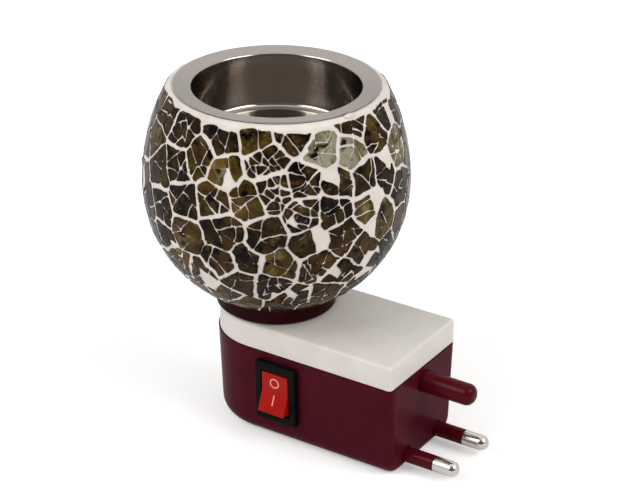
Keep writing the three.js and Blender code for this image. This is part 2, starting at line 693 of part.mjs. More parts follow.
// The grout is what lies behind every facet, outside the glass
function mosaicSkin() {
  const random = shardRandom();
  const facets = groutFacets(random);
  const blankRadius = GLOBE_RADIUS + SKIN_THICKNESS;
  let grout = asSolid(
    rod(blankRadius, point3(0, 0, GLOBE_BASE_Z), point3(0, 0, GLOBE_TOP_Z), GLOBE_SEGMENTS),
  );
  for (const { seat, normal } of facets) {
    grout = grout.trimByPlane(normal.clone().negate().toArray(), -seat.dot(normal));
  }
  const inside = globeProfile(GLOBE_BASE_Z, GLOBE_TOP_Z, SKIN_THICKNESS - SLIP_GAP, GLOBE_STEPS);
  const core = revolve(
    [
      [0, GLOBE_BASE_Z - CUT_PAST],
      [inside[0][0], GLOBE_BASE_Z - CUT_PAST],
      ...inside,
      [inside[inside.length - 1][0], GLOBE_TOP_Z + CUT_PAST],
      [0, GLOBE_TOP_Z + CUT_PAST],
    ],
    GLOBE_SEGMENTS,
  );
  return joinAll([cut(asGeometry(grout), core), ...shards(facets, random)]);
}

// A spun sheet cup: the flange dips to a rounded lip, then a tapered wall and a flat floor with a round corner
function camphorCup() {
  const lipZ = CUP_TOP_Z - CUP_FLANGE_DISH;
  const side = (depth) => {
    const lip = CUP_LIP_RADIUS - depth;
    const corner = CUP_FLOOR_RADIUS + depth;
    const wall = CUP_WALL_RADIUS + depth;
    const floorWall = wall - CUP_TAPER;
    return [
      [CUP_FLANGE_RADIUS, CUP_TOP_Z - depth],
      ...arc(CUP_LIP_START, lipZ - CUP_LIP_RADIUS, lip, 90, 180, 2),
      ...arc(floorWall - corner, CUP_FLOOR_Z + CUP_FLOOR_RADIUS, corner, 0, -90, 3),
      [0, CUP_FLOOR_Z - depth],
    ];
  };
  return revolve([...side(CUP_SHEET).reverse(), ...side(0)], GLOBE_SEGMENTS);
}

// Lamp holder and what screws on it

function lampHolder() {
  return revolve(
    [
      [0, HOLDER_BASE_Z],
      [HOLDER_BODY_RADIUS, HOLDER_BASE_Z],
      [HOLDER_BODY_RADIUS, HOLDER_FLANGE_BASE_Z],
      [HOLDER_FLANGE_RADIUS, HOLDER_FLANGE_BASE_Z],
      [HOLDER_FLANGE_RADIUS, HOLDER_FLANGE_TOP_Z],
      [HOLDER_SKIRT_RADIUS, HOLDER_FLANGE_TOP_Z],
      [HOLDER_SKIRT_RADIUS, HOLDER_TOP_Z - HOLDER_CHAMFER],
      [HOLDER_SKIRT_RADIUS - HOLDER_CHAMFER, HOLDER_TOP_Z],
      [HOLDER_BORE_RADIUS + HOLDER_CHAMFER, HOLDER_TOP_Z],
      [HOLDER_BORE_RADIUS, HOLDER_TOP_Z - HOLDER_CHAMFER],
      [HOLDER_BORE_RADIUS, HOLDER_SEAT_Z],
      [0, HOLDER_SEAT_Z],
    ],
    HOLDER_SIDES,
  );
}

function holderThreadShell() {
  const outer = HOLDER_BORE_RADIUS - SEAT_GAP;
  const inner = outer - SHELL_THICKNESS;
  const base = HOLDER_SEAT_Z + SEAT_GAP;
  return revolve(
    [
      [inner, base],
      [outer, base],
      [outer, base + SHELL_HEIGHT],
      [inner, base + SHELL_HEIGHT],
    ],
    HOLDER_SIDES,
  );
}

// A springy leaf that lies on the holder's seat and rises under the bulb's foot
function holderCentreContact() {
  const reach = HOLDER_BORE_RADIUS - SEAT_GAP - SHELL_THICKNESS - LEAF_END_GAP;
  const top = LEAF_BASE_Z + LEAF_RISE;
  const leaf = shapeOf([
    [-reach, LEAF_BASE_Z],
    [-LEAF_BEND, LEAF_BASE_Z],
    [LEAF_SLANT, top],
    [LEAF_TIP, top],
    [LEAF_TIP, top + LEAF_THICKNESS],
    [0, top + LEAF_THICKNESS],
    [-LEAF_BEND - LEAF_SLANT, LEAF_BASE_Z + LEAF_THICKNESS],
    [-reach, LEAF_BASE_Z + LEAF_THICKNESS],
  ]);
  return slab(leaf, LEAF_WIDTH).rotateX(Math.PI / 2).translate(0, LEAF_WIDTH / 2, 0);
}

// Screw ring with grip ribs, which clamps the globe down
function globeClampRing() {
  const outline = [];
  for (let rib = 0; rib < CLAMP_RING_RIBS; rib += 1) {
    const start = (360 * rib) / CLAMP_RING_RIBS;
    const third = 360 / CLAMP_RING_RIBS / 3;
    const inner = CLAMP_RING_RADIUS - CLAMP_RING_RIB_DEPTH;
    outline.push(...arc(0, 0, inner, start, start + third, 1));
    outline.push(...arc(0, 0, CLAMP_RING_RADIUS, start + third, start + 3 * third, 2).slice(0, 2));
  }
  const ring = shapeOf(outline);
  ring.holes.push(new THREE.Path().absarc(0, 0, HOLDER_HOLE_RADIUS, 0, 2 * Math.PI));
  return new THREE.ExtrudeGeometry(ring, { depth: CLAMP_RING_HEIGHT, bevelEnabled: false, curveSegments: 10 })
    .translate(0, 0, GLOBE_FLOOR_Z + SEAT_GAP);
}

function terminalBlock(side) {
  const [sizeX, sizeY, sizeZ] = BLOCK_SIZE;
  const centre = point3(BLOCK_X, side * BLOCK_Y, HOLDER_BASE_Z - SEAT_GAP - sizeZ / 2);
  const bore = rod(WIRE_RADIUS + SLIP_GAP, centre, centre.clone().setX(BLOCK_X + sizeX), PIN_SIDES);
  return cut(block(sizeX, sizeY, sizeZ, centre), bore);
}

// Bulb pieces, from the foot up

function bulbFootContact() {
  const top = BULB_FOOT_Z + BULB_FOOT_HEIGHT;
  return revolve(
    [
      [0, BULB_FOOT_Z],
      [BULB_FOOT_RADIUS, BULB_FOOT_Z + BULB_FOOT_DOME],
      [BULB_FOOT_RADIUS, top],
      [0, top],
    ],
    BULB_SIDES,
  );
}

function bulbInsulator() {
  const top = INSULATOR_Z + BULB_INSULATOR_HEIGHT;
  const shoulder = BULB_CAP_RADIUS - 2 * BULB_CAP_CORNER;
  return revolve([[0, INSULATOR_Z], [BULB_INSULATOR_FOOT, INSULATOR_Z], [shoulder, top], [0, top]], BULB_SIDES);
}

function bulbCap() {
  const inner = BULB_CAP_RADIUS - BULB_CAP_SHEET;
  return revolve(
    [
      [BULB_CAP_HOLE, BULB_CAP_Z],
      [BULB_CAP_RADIUS - BULB_CAP_CORNER, BULB_CAP_Z],
      [BULB_CAP_RADIUS, BULB_CAP_Z + BULB_CAP_CORNER],
      [BULB_CAP_RADIUS, BULB_SHOULDER_Z],
      [inner, BULB_SHOULDER_Z],
      [inner, BULB_CAP_Z + BULB_CAP_CORNER + BULB_CAP_SHEET],
      [inner - BULB_CAP_CORNER, BULB_CAP_Z + BULB_CAP_SHEET],
      [BULB_CAP_HOLE, BULB_CAP_Z + BULB_CAP_SHEET],
    ],
    BULB_SIDES,
  );
}

function bulbEnvelope() {
  const side = (depth) => {
    const radius = BULB_RADIUS - depth;
    const neck = BULB_NECK_RADIUS - depth;
    const crown = BULB_TOP_Z - BULB_RADIUS;
    return [
      [neck, BULB_NECK_Z],
      [neck, BULB_SHOULDER_Z + SEAT_GAP],
      [neck + BULB_SWELL_WIDTH, BULB_SHOULDER_Z + BULB_SWELL_START],
      [radius, BULB_SHOULDER_Z + BULB_SWELL_END],
      ...arc(0, crown, radius, 0, 90, 4).slice(0, 4),
      [0, crown + radius],
    ];
  };
  return revolve([...side(0), ...side(BULB_GLASS).reverse()], BULB_SIDES);
}

function bulbStem() {
  const foot = BULB_NECK_RADIUS - BULB_GLASS - SEAT_GAP;
  return revolve(
    [
      [0, BULB_NECK_Z],
      [foot, BULB_NECK_Z],
      [STEM_TOP_RADIUS, BULB_NECK_Z + STEM_FLARE],
      [STEM_TOP_RADIUS, STEM_TOP_Z],
      [0, STEM_TOP_Z],
    ],
    BULB_SIDES,
  );
}

// Two supports and the bent filament between them, one run of wire
function bulbFilament() {
  const foot = STEM_TOP_Z + SEAT_GAP;
  const top = foot + FILAMENT_RISE;
  const support = [
    point3(STEM_TOP_RADIUS - 2 * FILAMENT_WIRE_RADIUS, 0, foot),
    point3(FILAMENT_HALF_WIDTH / 2, 0, (foot + top) / 2),
    point3(FILAMENT_HALF_WIDTH, FILAMENT_BOW / 3, top),
    point3(FILAMENT_HALF_WIDTH / 2, FILAMENT_BOW * 0.8, top),
  ];
  const mirrored = support.map((point) => point3(-point.x, point.y, point.z));
  const route = [...mirrored, point3(0, FILAMENT_BOW, top), ...support.reverse()];
  return tube(new THREE.CatmullRomCurve3(route), FILAMENT_WIRE_RADIUS, 4, 24);
}

// Plug pins, turned about X

const alongX = (geometry, y, z) => geometry.rotateY(Math.PI / 2).translate(0, y, z);

function metalPin(side) {
  const shoulder = PLUG_FACE_X + PIN_SLEEVE_LENGTH + SLIP_GAP;
  const tip = PLUG_FACE_X + PIN_LENGTH;
  const dome = arc(0, tip - PIN_RADIUS, PIN_RADIUS, 0, 90, 4).slice(0, 4);
  const outline = [
    [0, PIN_TAIL_X + PIN_CUP_DEPTH],
    [WIRE_RADIUS + SLIP_GAP, PIN_TAIL_X + PIN_CUP_DEPTH],
    [WIRE_RADIUS + SLIP_GAP, PIN_TAIL_X],
    [PIN_CORE_RADIUS, PIN_TAIL_X],
    [PIN_CORE_RADIUS, PIN_COLLAR_X],
    [PIN_RADIUS, PIN_COLLAR_X],
    [PIN_RADIUS, PIN_COLLAR_X + PIN_FLANGE_THICKNESS],
    [PIN_CORE_RADIUS, PIN_COLLAR_X + PIN_FLANGE_THICKNESS],
    [PIN_CORE_RADIUS, shoulder],
    [PIN_RADIUS, shoulder],
    ...dome,
    [0, tip],
  ];
  return alongX(revolve(outline, PIN_SIDES), (side * PIN_PITCH) / 2, PIN_Z);
}

function flangePlate(radius, y, z) {
  const halfWidth = radius + PIN_FLANGE_REACH;
  const bottom = Math.max(z - halfWidth, HOUSING_FLOOR + SEAT_GAP);
  const height = z + halfWidth - bottom;
  const x = PIN_FLANGE_X + PIN_FLANGE_THICKNESS / 2;
  return block(PIN_FLANGE_THICKNESS, 2 * halfWidth, height, point3(x, y, bottom + height / 2));
}

function pinSleeve(side) {
  const y = (side * PIN_PITCH) / 2;
  const end = PLUG_FACE_X + PIN_SLEEVE_LENGTH;
  const outside = join(
    flangePlate(PIN_RADIUS, y, PIN_Z),
    rod(PIN_RADIUS, point3(PIN_FLANGE_X, y, PIN_Z), point3(end, y, PIN_Z)),
  );
  const bore = rod(
    PIN_CORE_RADIUS + SLIP_GAP,
    point3(PIN_FLANGE_X - CUT_PAST, y, PIN_Z),
    point3(end + CUT_PAST, y, PIN_Z),
  );
  return cut(outside, bore);
}

function earthPin() {
  const tip = PLUG_FACE_X + EARTH_LENGTH;
  const soft = EARTH_TIP_RADIUS;
  const peg = revolve(
    [
      [0, PIN_COLLAR_X],
      [EARTH_RADIUS, PIN_COLLAR_X],
      ...arc(EARTH_RADIUS - soft, tip - soft, soft, 0, 90, 4),
      [0, tip],
    ],
    EARTH_SIDES,
  );
  return join(alongX(peg, 0, EARTH_Z), flangePlate(EARTH_RADIUS, 0, EARTH_Z));
}

// Shield-shaped plate that keeps the three pins from pushing in
function pinRetainer() {
  const bottom = HOUSING_FLOOR + SEAT_GAP;
  const halfFoot = PIN_PITCH / 2 + RETAINER_MARGIN;
  const ear = RETAINER_SCREW_Y + RETAINER_MARGIN;
  const top = EARTH_Z + EARTH_RADIUS - RETAINER_TOP_DROP;
  const plate = shapeOf([
    [-halfFoot, bottom],
    [halfFoot, bottom],
    [ear, RETAINER_SCREW_Z - RETAINER_MARGIN],
    [ear, RETAINER_SCREW_Z + RETAINER_MARGIN],
    [EARTH_RADIUS, top],
    [-EARTH_RADIUS, top],
    [-ear, RETAINER_SCREW_Z + RETAINER_MARGIN],
    [-ear, RETAINER_SCREW_Z - RETAINER_MARGIN],
  ]);
  const holes = [
    [-PIN_PITCH / 2, PIN_Z, PIN_CORE_RADIUS],
    [PIN_PITCH / 2, PIN_Z, PIN_CORE_RADIUS],
    [-RETAINER_SCREW_Y, RETAINER_SCREW_Z, SCREW_RADIUS],
    [RETAINER_SCREW_Y, RETAINER_SCREW_Z, SCREW_RADIUS],
  ];
  for (const [y, z, radius] of holes) {
    plate.holes.push(new THREE.Path().absarc(y, z, radius + SEAT_GAP, 0, 2 * Math.PI));
  }
  const toWall = new THREE.Matrix4().makeBasis(point3(0, 1, 0), point3(0, 0, 1), point3(1, 0, 0));
  return slab(plate, RETAINER_THICKNESS).applyMatrix4(toWall).translate(RETAINER_X, 0, 0);
}

// A pan-head screw pointing up from its head, which starts at z 0
function panScrew(length) {
  return revolve(
    [
      [0, 0],
      [SCREW_HEAD_RADIUS - SCREW_HEAD_CHAMFER, 0],
      [SCREW_HEAD_RADIUS, SCREW_HEAD_CHAMFER],
      [SCREW_HEAD_RADIUS, SCREW_HEAD_HEIGHT],
      [SCREW_RADIUS, SCREW_HEAD_HEIGHT],
      [SCREW_RADIUS, SCREW_HEAD_HEIGHT + length - SCREW_POINT],
      [0, SCREW_HEAD_HEIGHT + length],
    ],
    SCREW_SIDES,
  );
}

// Rocker switch: sections are drawn as [up the wall, out of it] and extruded across

const SECTION_TO_WALL = new THREE.Matrix4().makeBasis(point3(0, 0, 1), point3(0, -1, 0), point3(1, 0, 0));

function acrossWall(section, width) {
  return slab(shapeOf(section), width).applyMatrix4(SECTION_TO_WALL).translate(-width / 2, 0, 0);
}

function outOfWall(radius, from, to, up, sides = 12) {
  return rod(radius, point3(0, -to, up), point3(0, -from, up), sides);
}

function switchBody() {
  const opening = [ROCKER_WIDTH + 2 * SEAT_GAP, 2 * (ROCKER_HALF_LENGTH + ROCKER_END_GAP)];
  const corner = BEZEL_CORNER_RADIUS;
  const [x, z] = [BEZEL_WIDTH / 2 - corner, BEZEL_HEIGHT / 2 - corner];
  const frame = shapeOf([
    ...arc(x, z, corner, 0, 90, 3),
    ...arc(-x, z, corner, 90, 180, 3),
    ...arc(-x, -z, corner, 180, 270, 3),
    ...arc(x, -z, corner, 270, 360, 3),
  ]);
  const bezel = slab(frame, BEZEL_THICKNESS).rotateX(Math.PI / 2).translate(0, -SLIP_GAP, 0);
  const depth = SWITCH_BODY_DEPTH + SLIP_GAP + BEZEL_THICKNESS / 2;
  const tub = block(
    SWITCH_BODY_WIDTH,
    depth,
    SWITCH_BODY_HEIGHT,
    point3(0, SWITCH_BODY_DEPTH - depth / 2, 0),
  );
  const hollowDepth = SWITCH_BODY_DEPTH - SWITCH_WALL + 2 * BEZEL_THICKNESS;
  const hollow = block(
    opening[0],
    hollowDepth,
    opening[1],
    point3(0, SWITCH_BODY_DEPTH - SWITCH_WALL - hollowDepth / 2, 0),
  );
  const tabRoot = SWITCH_BODY_HEIGHT / 2 - SWITCH_TAB_ROOT;
  const tabOut = HOUSING_WALL + SEAT_GAP;
  const tab = (side) =>
    acrossWall(
      [
        [side * tabRoot, -tabOut],
        [side * (tabRoot + SWITCH_TAB_ROOT + SWITCH_TAB_REACH), -tabOut],
        [side * tabRoot, -tabOut - SWITCH_TAB_LENGTH],
      ],
      SWITCH_BODY_WIDTH / 2,
    );
  const slots = [0, LOAD_TERMINAL_UP].map((up) =>
    block(
      TERMINAL_WIDTH + 2 * SLIP_GAP,
      4 * SWITCH_WALL,
      TERMINAL_THICKNESS + 2 * SLIP_GAP,
      point3(0, SWITCH_BODY_DEPTH, up),
    ),
  );
  const pivot = rod(
    TRUNNION_RADIUS + SLIP_GAP,
    point3(-SWITCH_BODY_WIDTH, -ROCKER_PIVOT_OUT, 0),
    point3(SWITCH_BODY_WIDTH, -ROCKER_PIVOT_OUT, 0),
    PIVOT_SIDES,
  );
  const pivotReach = block(
    ROCKER_WIDTH + 2 * TRUNNION_LENGTH + 2 * SLIP_GAP,
    4 * TRUNNION_RADIUS,
    4 * TRUNNION_RADIUS,
    point3(0, -ROCKER_PIVOT_OUT, 0),
  );
  const sockets = asGeometry(asSolid(pivot).intersect(asSolid(pivotReach)));
  return cut(join(tub, bezel, tab(1), tab(-1)), hollow, sockets, ...slots);
}

// Drawn about its pivot and level, with its two wings rising to the ends
function switchRocker() {
  const rise = ROCKER_CROWN + ROCKER_HALF_LENGTH * Math.tan(degrees(ROCKER_TILT));
  const half = ROCKER_HALF_LENGTH;
  const stalk = ROCKER_STALK_HALF;
  const wing = [
    [0, ROCKER_CROWN],
    [half - ROCKER_EDGE, rise],
    [half, rise - ROCKER_EDGE],
    [half - ROCKER_END_LEAN, -ROCKER_SKIRT],
    [stalk + ROCKER_EDGE, -ROCKER_SKIRT - ROCKER_EDGE],
    [stalk, -ROCKER_STALK_LENGTH],
  ];
  const mirrored = wing.slice(1).reverse().map(([up, out]) => [-up, out]);
  const body = acrossWall([...mirrored, ...wing].reverse(), ROCKER_WIDTH);
  const trunnion = rod(
    TRUNNION_RADIUS,
    point3(-ROCKER_WIDTH / 2 - TRUNNION_LENGTH, 0, 0),
    point3(ROCKER_WIDTH / 2 + TRUNNION_LENGTH, 0, 0),
    PIVOT_SIDES,
  );
  const bore = outOfWall(PLUNGER_RADIUS + SEAT_GAP, -ROCKER_STALK_LENGTH - CUT_PAST, SEAT_GAP, 0);
  return cut(join(body, trunnion), bore);
}

function switchPlunger() {
  const base = PLUNGER_LENGTH - PLUNGER_REACH;
  const dome = arc(0, PLUNGER_REACH - PLUNGER_RADIUS, PLUNGER_RADIUS, 0, 90, 4).slice(0, 4);
  const turned = revolve([[0, -base], [PLUNGER_RADIUS, -base], ...dome, [0, PLUNGER_REACH]], PIN_SIDES);
  return turned.rotateX(-Math.PI / 2);
}

class SpringCurve extends THREE.Curve {
  getPoint(share, target = new THREE.Vector3()) {
    const turn = 2 * Math.PI * SPRING_TURNS * share;
    const along = SPRING_LENGTH * share;
    return target.set(SPRING_RADIUS * Math.cos(turn), along, SPRING_RADIUS * Math.sin(turn));
  }
}

function plungerSpring() {
  const gap = SPRING_LENGTH / SPRING_TURNS - 2 * SPRING_WIRE_RADIUS;
  console.log(`plunger spring: gap between turns ${gap.toFixed(2)} mm`);
  return tube(new SpringCurve(), SPRING_WIRE_RADIUS, 5, 8 * SPRING_TURNS);
}

// Drawn about the ridge that it tips on
function contactBridge() {
  const half = BRIDGE_HALF_LENGTH;
  const strip = acrossWall(
    [
      [-half, BRIDGE_VEE],
      [0, 0],
      [half, BRIDGE_VEE],
      [half, BRIDGE_VEE + BRIDGE_THICKNESS],
      [0, BRIDGE_THICKNESS],
      [-half, BRIDGE_VEE + BRIDGE_THICKNESS],
    ],
    BRIDGE_WIDTH,
  );
  const back = BRIDGE_VEE + BRIDGE_THICKNESS / 2;
  const button = outOfWall(CONTACT_RADIUS, BRIDGE_VEE - CONTACT_HEIGHT, back, LOAD_TERMINAL_UP);
  return join(strip, button);
}

function switchTerminal(up, top) {
  const blade = block(
    TERMINAL_WIDTH,
    TERMINAL_REACH - top,
    TERMINAL_THICKNESS,
    point3(0, (TERMINAL_REACH + top) / 2, up),
  );
  const end = TERMINAL_REACH + WIRE_CUP_LENGTH / 2;
  const cup = outOfWall(WIRE_CUP_RADIUS, -end, -end + WIRE_CUP_LENGTH, up);
  const bore = outOfWall(WIRE_RADIUS + SLIP_GAP, -end - CUT_PAST, -end + WIRE_CUP_LENGTH - WIRE_CUP_FLOOR, up);
  return cut(join(blade, cup), bore);
}

// Wires: their ends lie in the solder cups and terminal bores, and the points between are led by hand

function wire(points) {
  return tube(new THREE.CatmullRomCurve3(points), WIRE_RADIUS, WIRE_SIDES, WIRE_STEPS);
}

function pinEnd(side) {
  const y = (side * PIN_PITCH) / 2;
  const seat = PIN_TAIL_X + PIN_CUP_DEPTH - SEAT_GAP;
  return [seat, PIN_TAIL_X, PIN_TAIL_X - WIRE_LEAD].map((x) => point3(x, y, PIN_Z));
}

function switchEnd(up) {
  const seat = TERMINAL_REACH - WIRE_CUP_LENGTH / 2 + WIRE_CUP_FLOOR + SEAT_GAP;
  const mouth = WIRE_CUP_LENGTH - WIRE_CUP_FLOOR;
  return [mouth + WIRE_LEAD, mouth, 0].map((back) => switchPoint(0, up, -seat - back));
}

function blockEnd(side) {
  const z = HOLDER_BASE_Z - SEAT_GAP - BLOCK_SIZE[2] / 2;
  const mouth = BLOCK_X + BLOCK_SIZE[0] / 2;
  return [mouth + WIRE_LEAD, mouth, BLOCK_X + SEAT_GAP].map((x) => point3(x, side * BLOCK_Y, z));
}

function lineWire() {
  return wire([
    ...pinEnd(-1),
    point3(36, -5.5, 5.5),
    point3(27, -2, 10),
    point3(18, 3.5, 17.5),
    ...switchEnd(0),
  ]);
}

function switchedWire() {
  return wire([
    ...switchEnd(LOAD_TERMINAL_UP).reverse(),
    point3(9, 5.2, 26.8),
    point3(4.5, 1.5, 27.6),
    ...blockEnd(-1),
  ]);
}

function neutralWire() {
  return wire([
    ...pinEnd(1),
    point3(36, 7, 5.5),
    point3(27, 8, 10),
    point3(16, 9.5, 19),
    point3(7, 7, 26.5),
    ...blockEnd(1),
  ]);
}

// Finishes

const finish = (color, roughness, metalness = 0) =>
  new THREE.MeshStandardMaterial({ color, roughness, metalness });
const maroonPlastic = finish('#45121c', 0.38);
const creamPlastic = finish('#ddd7cf', 0.4);
const blackPlastic = finish('#10120f', 0.45);
const redPlastic = finish('#b8221c', 0.3);
const shardGlass = finish('#4a3d22', 0.15);
const clearGlass = finish('#e8ece8', 0.05);
const polishedSteel = finish('#a59d9c', 0.15, 1);
const nickelPlate = finish('#b9b4ab', 0.25, 1);
const brass = finish('#b08d4a', 0.35, 1);
const whitePorcelain = finish('#e6e3da', 0.3);
const zincSteel = finish('#9a9c9e', 0.4, 1);
const redInsulation = finish('#8e1f1b', 0.5);
const blackInsulation = finish('#161616', 0.5);

const burner = new THREE.Group();

function place(parent, name, geometry, material) {
  const mesh = new THREE.Mesh(geometry, material);
  mesh.name = name;
  parent.add(mesh);
  return mesh;
}

place(burner, 'lower_housing', lowerHousing(), maroonPlastic);
place(burner, 'top_cover', topCover(), creamPlastic);
place(burner, 'globe_collar', globeCollar(), maroonPlastic);
place(burner, 'glass_globe', glassGlobe(), clearGlass);
place(burner, 'mosaic_skin', mosaicSkin(), shardGlass);
place(burner, 'camphor_cup', camphorCup(), polishedSteel);

place(burner, 'lamp_holder', lampHolder(), whitePorcelain);
place(burner, 'holder_thread_shell', holderThreadShell(), brass);
place(burner, 'holder_centre_contact', holderCentreContact(), brass);
place(burner, 'globe_clamp_ring', globeClampRing(), whitePorcelain);
place(burner, 'holder_terminal_live', terminalBlock(-1), brass);
place(burner, 'holder_terminal_neutral', terminalBlock(1), brass);
place(burner, 'bulb_foot_contact', bulbFootContact(), zincSteel);
place(burner, 'bulb_insulator', bulbInsulator(), blackPlastic);
place(burner, 'bulb_cap', bulbCap(), nickelPlate);
place(burner, 'bulb_envelope', bulbEnvelope(), clearGlass);
place(burner, 'bulb_stem', bulbStem(), clearGlass);
place(burner, 'bulb_filament', bulbFilament(), zincSteel);

place(burner, 'line_pin', metalPin(-1), nickelPlate);
place(burner, 'neutral_pin', metalPin(1), nickelPlate);
place(burner, 'line_sleeve', pinSleeve(-1), maroonPlastic);
place(burner, 'neutral_sleeve', pinSleeve(1), maroonPlastic);
place(burner, 'earth_pin', earthPin(), maroonPlastic);
place(burner, 'pin_retainer', pinRetainer(), blackPlastic);

[-1, 1].forEach((side, order) => {
  const screw = place(burner, `retainer_screw_${order + 1}`, panScrew(RETAINER_SCREW_LENGTH), zincSteel);
  const headX = RETAINER_X - SEAT_GAP - SCREW_HEAD_HEIGHT;
  screw.position.set(headX, side * RETAINER_SCREW_Y, RETAINER_SCREW_Z);
  screw.rotation.y = Math.PI / 2;
});

screwPlaces().forEach((spot, order) => {
  const screw = place(burner, `housing_screw_${order + 1}`, panScrew(SCREW_LENGTH), zincSteel);
  screw.position.set(spot.x, spot.y, SCREW_HEAD_RECESS);
});

const switchGroup = switchFrame();
burner.add(switchGroup);
place(switchGroup, 'switch_body', switchBody(), blackPlastic);
const lineBladeTop = BRIDGE_DEPTH + BRIDGE_THICKNESS + SEAT_GAP;
const loadBladeTop = CONTACT_TOP_DEPTH + OPEN_CONTACT_GAP;
place(switchGroup, 'switch_line_terminal', switchTerminal(0, lineBladeTop), brass);
place(switchGroup, 'switch_load_terminal', switchTerminal(LOAD_TERMINAL_UP, loadBladeTop), brass);

const rockerGroup = new THREE.Group();
rockerGroup.position.set(0, -ROCKER_PIVOT_OUT, 0);
rockerGroup.rotation.x = -degrees(ROCKER_TILT);
switchGroup.add(rockerGroup);
place(rockerGroup, 'switch_rocker', switchRocker(), redPlastic);
place(rockerGroup, 'rocker_plunger', switchPlunger(), nickelPlate);
place(rockerGroup, 'plunger_spring', plungerSpring(), zincSteel);

const bridge = place(switchGroup, 'contact_bridge', contactBridge(), brass);
bridge.position.set(0, BRIDGE_DEPTH + BRIDGE_THICKNESS, 0);
bridge.rotation.x = degrees(BRIDGE_TILT);

place(burner, 'line_wire', lineWire(), redInsulation);
place(burner, 'switched_wire', switchedWire(), redInsulation);
place(burner, 'neutral_wire', neutralWire(), blackInsulation);

export default burner;
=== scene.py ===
import json
import math
import random

import bmesh
import bpy
from mathutils import Matrix, Vector


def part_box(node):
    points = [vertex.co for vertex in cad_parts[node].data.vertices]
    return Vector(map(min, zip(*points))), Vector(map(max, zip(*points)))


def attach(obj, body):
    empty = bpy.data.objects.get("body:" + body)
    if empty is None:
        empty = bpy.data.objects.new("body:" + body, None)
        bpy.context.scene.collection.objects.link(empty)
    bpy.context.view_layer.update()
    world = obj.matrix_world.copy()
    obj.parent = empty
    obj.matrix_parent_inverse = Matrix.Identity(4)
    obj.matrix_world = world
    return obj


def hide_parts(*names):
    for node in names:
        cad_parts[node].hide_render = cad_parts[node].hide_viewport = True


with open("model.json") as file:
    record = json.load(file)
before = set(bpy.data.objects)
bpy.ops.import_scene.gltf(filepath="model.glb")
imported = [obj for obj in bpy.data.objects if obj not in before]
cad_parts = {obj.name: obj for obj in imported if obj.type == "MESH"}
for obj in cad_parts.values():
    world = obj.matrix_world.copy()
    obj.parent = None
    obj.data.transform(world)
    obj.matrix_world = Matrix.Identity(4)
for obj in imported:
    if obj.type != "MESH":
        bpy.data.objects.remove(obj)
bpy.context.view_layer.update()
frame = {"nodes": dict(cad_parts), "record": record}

# A camphor burner: a mosaic glass globe with a steel cup, on a plug-in base with a rocker switch

MM = 0.001

# Sizes of the base and its cover
HOUSING_DRAFT = 1.5 * MM
HOUSING_EDGE_RADIUS = 5.6 * MM
HOUSING_CORNER_RADIUS = 3 * MM
HOUSING_WALL = 2 * MM
HOUSING_FLOOR = 1.6 * MM
SEAM = 0.25 * MM
COVER_INSET = 0.4 * MM
COVER_TAPER = 0.3 * MM
COVER_EDGE_RADIUS = 1.2 * MM
COVER_CORNER_RADIUS = 1.4 * MM
COLLAR_EDGE_RADIUS = 0.9 * MM
# The collar is this much wider all round than in the CAD
COLLAR_SPREAD = 1.2 * MM
HOLDER_HOLE_RADIUS = 13.9 * MM
SWITCH_CUT_DEPTH = 16 * MM

# Sizes of the globe
GLOBE_RADIUS = 42.5 * MM
GLOBE_MIDDLE_RISE = 36.1 * MM
# The globe's foot stands this much higher on its collar than in the CAD
GLOBE_FOOT_LIFT = 1.5 * MM
GLOBE_FOOT_RADIUS = 21.8 * MM
GLOBE_MOUTH_RADIUS = 34.6 * MM
GLASS_THICKNESS = 2.6 * MM
SKIN_THICKNESS = 2 * MM
SKIN_POLE_SHARE = 0.5

# Sizes of the mosaic: big shards, the pieces that they are broken into, and the grout round them
SHARD_SPACING = 8.4 * MM
SHARD_REACH = 20 * MM
SHARD_TRIES = 6000
SCATTER_SEED = 5
CORNER_SEED = 3
SHEET_SIZE = 26 * MM
PIECE_SHORTEST = 5.4 * MM
PIECE_LONGEST = 10 * MM
PIECE_SMALLEST = 2.4 * MM * MM
PIECE_LOST = 0.05
CRACKS_MOST = 14
CRACK_SLANT = math.radians(26)
CRACK_MIDDLE = 0.5
CRACK_ASIDE_LEAST = 0.06
CRACK_ASIDE_MOST = 0.2
CRACK_LEAST = 0.22 * MM
CRACK_MOST = 0.42 * MM
GROUT_LEAST = 0.1 * MM
GROUT_MOST = 1.4 * MM
CORNER_SHIFT = 0.3 * MM
SHARD_PROUD = 0.24 * MM
SHARD_SUNK = 0.9 * MM
SHARD_EDGE = 0.1 * MM
SHARD_CORNER = 0.45 * MM
CORNER_LEAST = 0.7 * MM
EDGE_STEP = 1.6 * MM
EDGE_ROUNDS = 3
BEND_SIZE = 6 * MM
BEND = 2.4 * MM
CHIP_SIZE = 1.4 * MM
CHIP = 0.5 * MM
BAND_LEAST = -0.6 * MM
BAND_MOST = 1.6 * MM
FOOT_BAND = 1.2 * MM
RIM_DROP = 1 * MM
RIM_GAP = 0.1 * MM
BLOB_SIZE = (2 * MM, 1 * MM, 0.8 * MM)
BLOB_ANGLE = math.radians(-16)

# Where pale and black shards stand together: degrees round the globe, height, reach, least and most tone
TONE_PLACES = (
    (-74, 108 * MM, 6 * MM, 0.8, 1),
    (-29, 107 * MM, 9 * MM, 0.85, 1),
    (11, 102 * MM, 9 * MM, 0.8, 1),
    (150, 100 * MM, 9 * MM, 0.8, 1),
    (-37, 95 * MM, 5 * MM, 0, 0.05),
    (80, 92 * MM, 6 * MM, 0, 0.05),
)
TONE_LEAST = 0.13
TONE_MOST = 0.62

# Sizes of the steel cup
CUP_SHEET = 0.6 * MM
CUP_SIDE_GAP = 3 * MM
CUP_TAPER = 0.5 * MM
CUP_FLANGE_DISH = 0.7 * MM
CUP_LIP_RADIUS = 0.75 * MM
CUP_FLOOR_RADIUS = 1.6 * MM
CUP_EDGE = 0.2 * MM

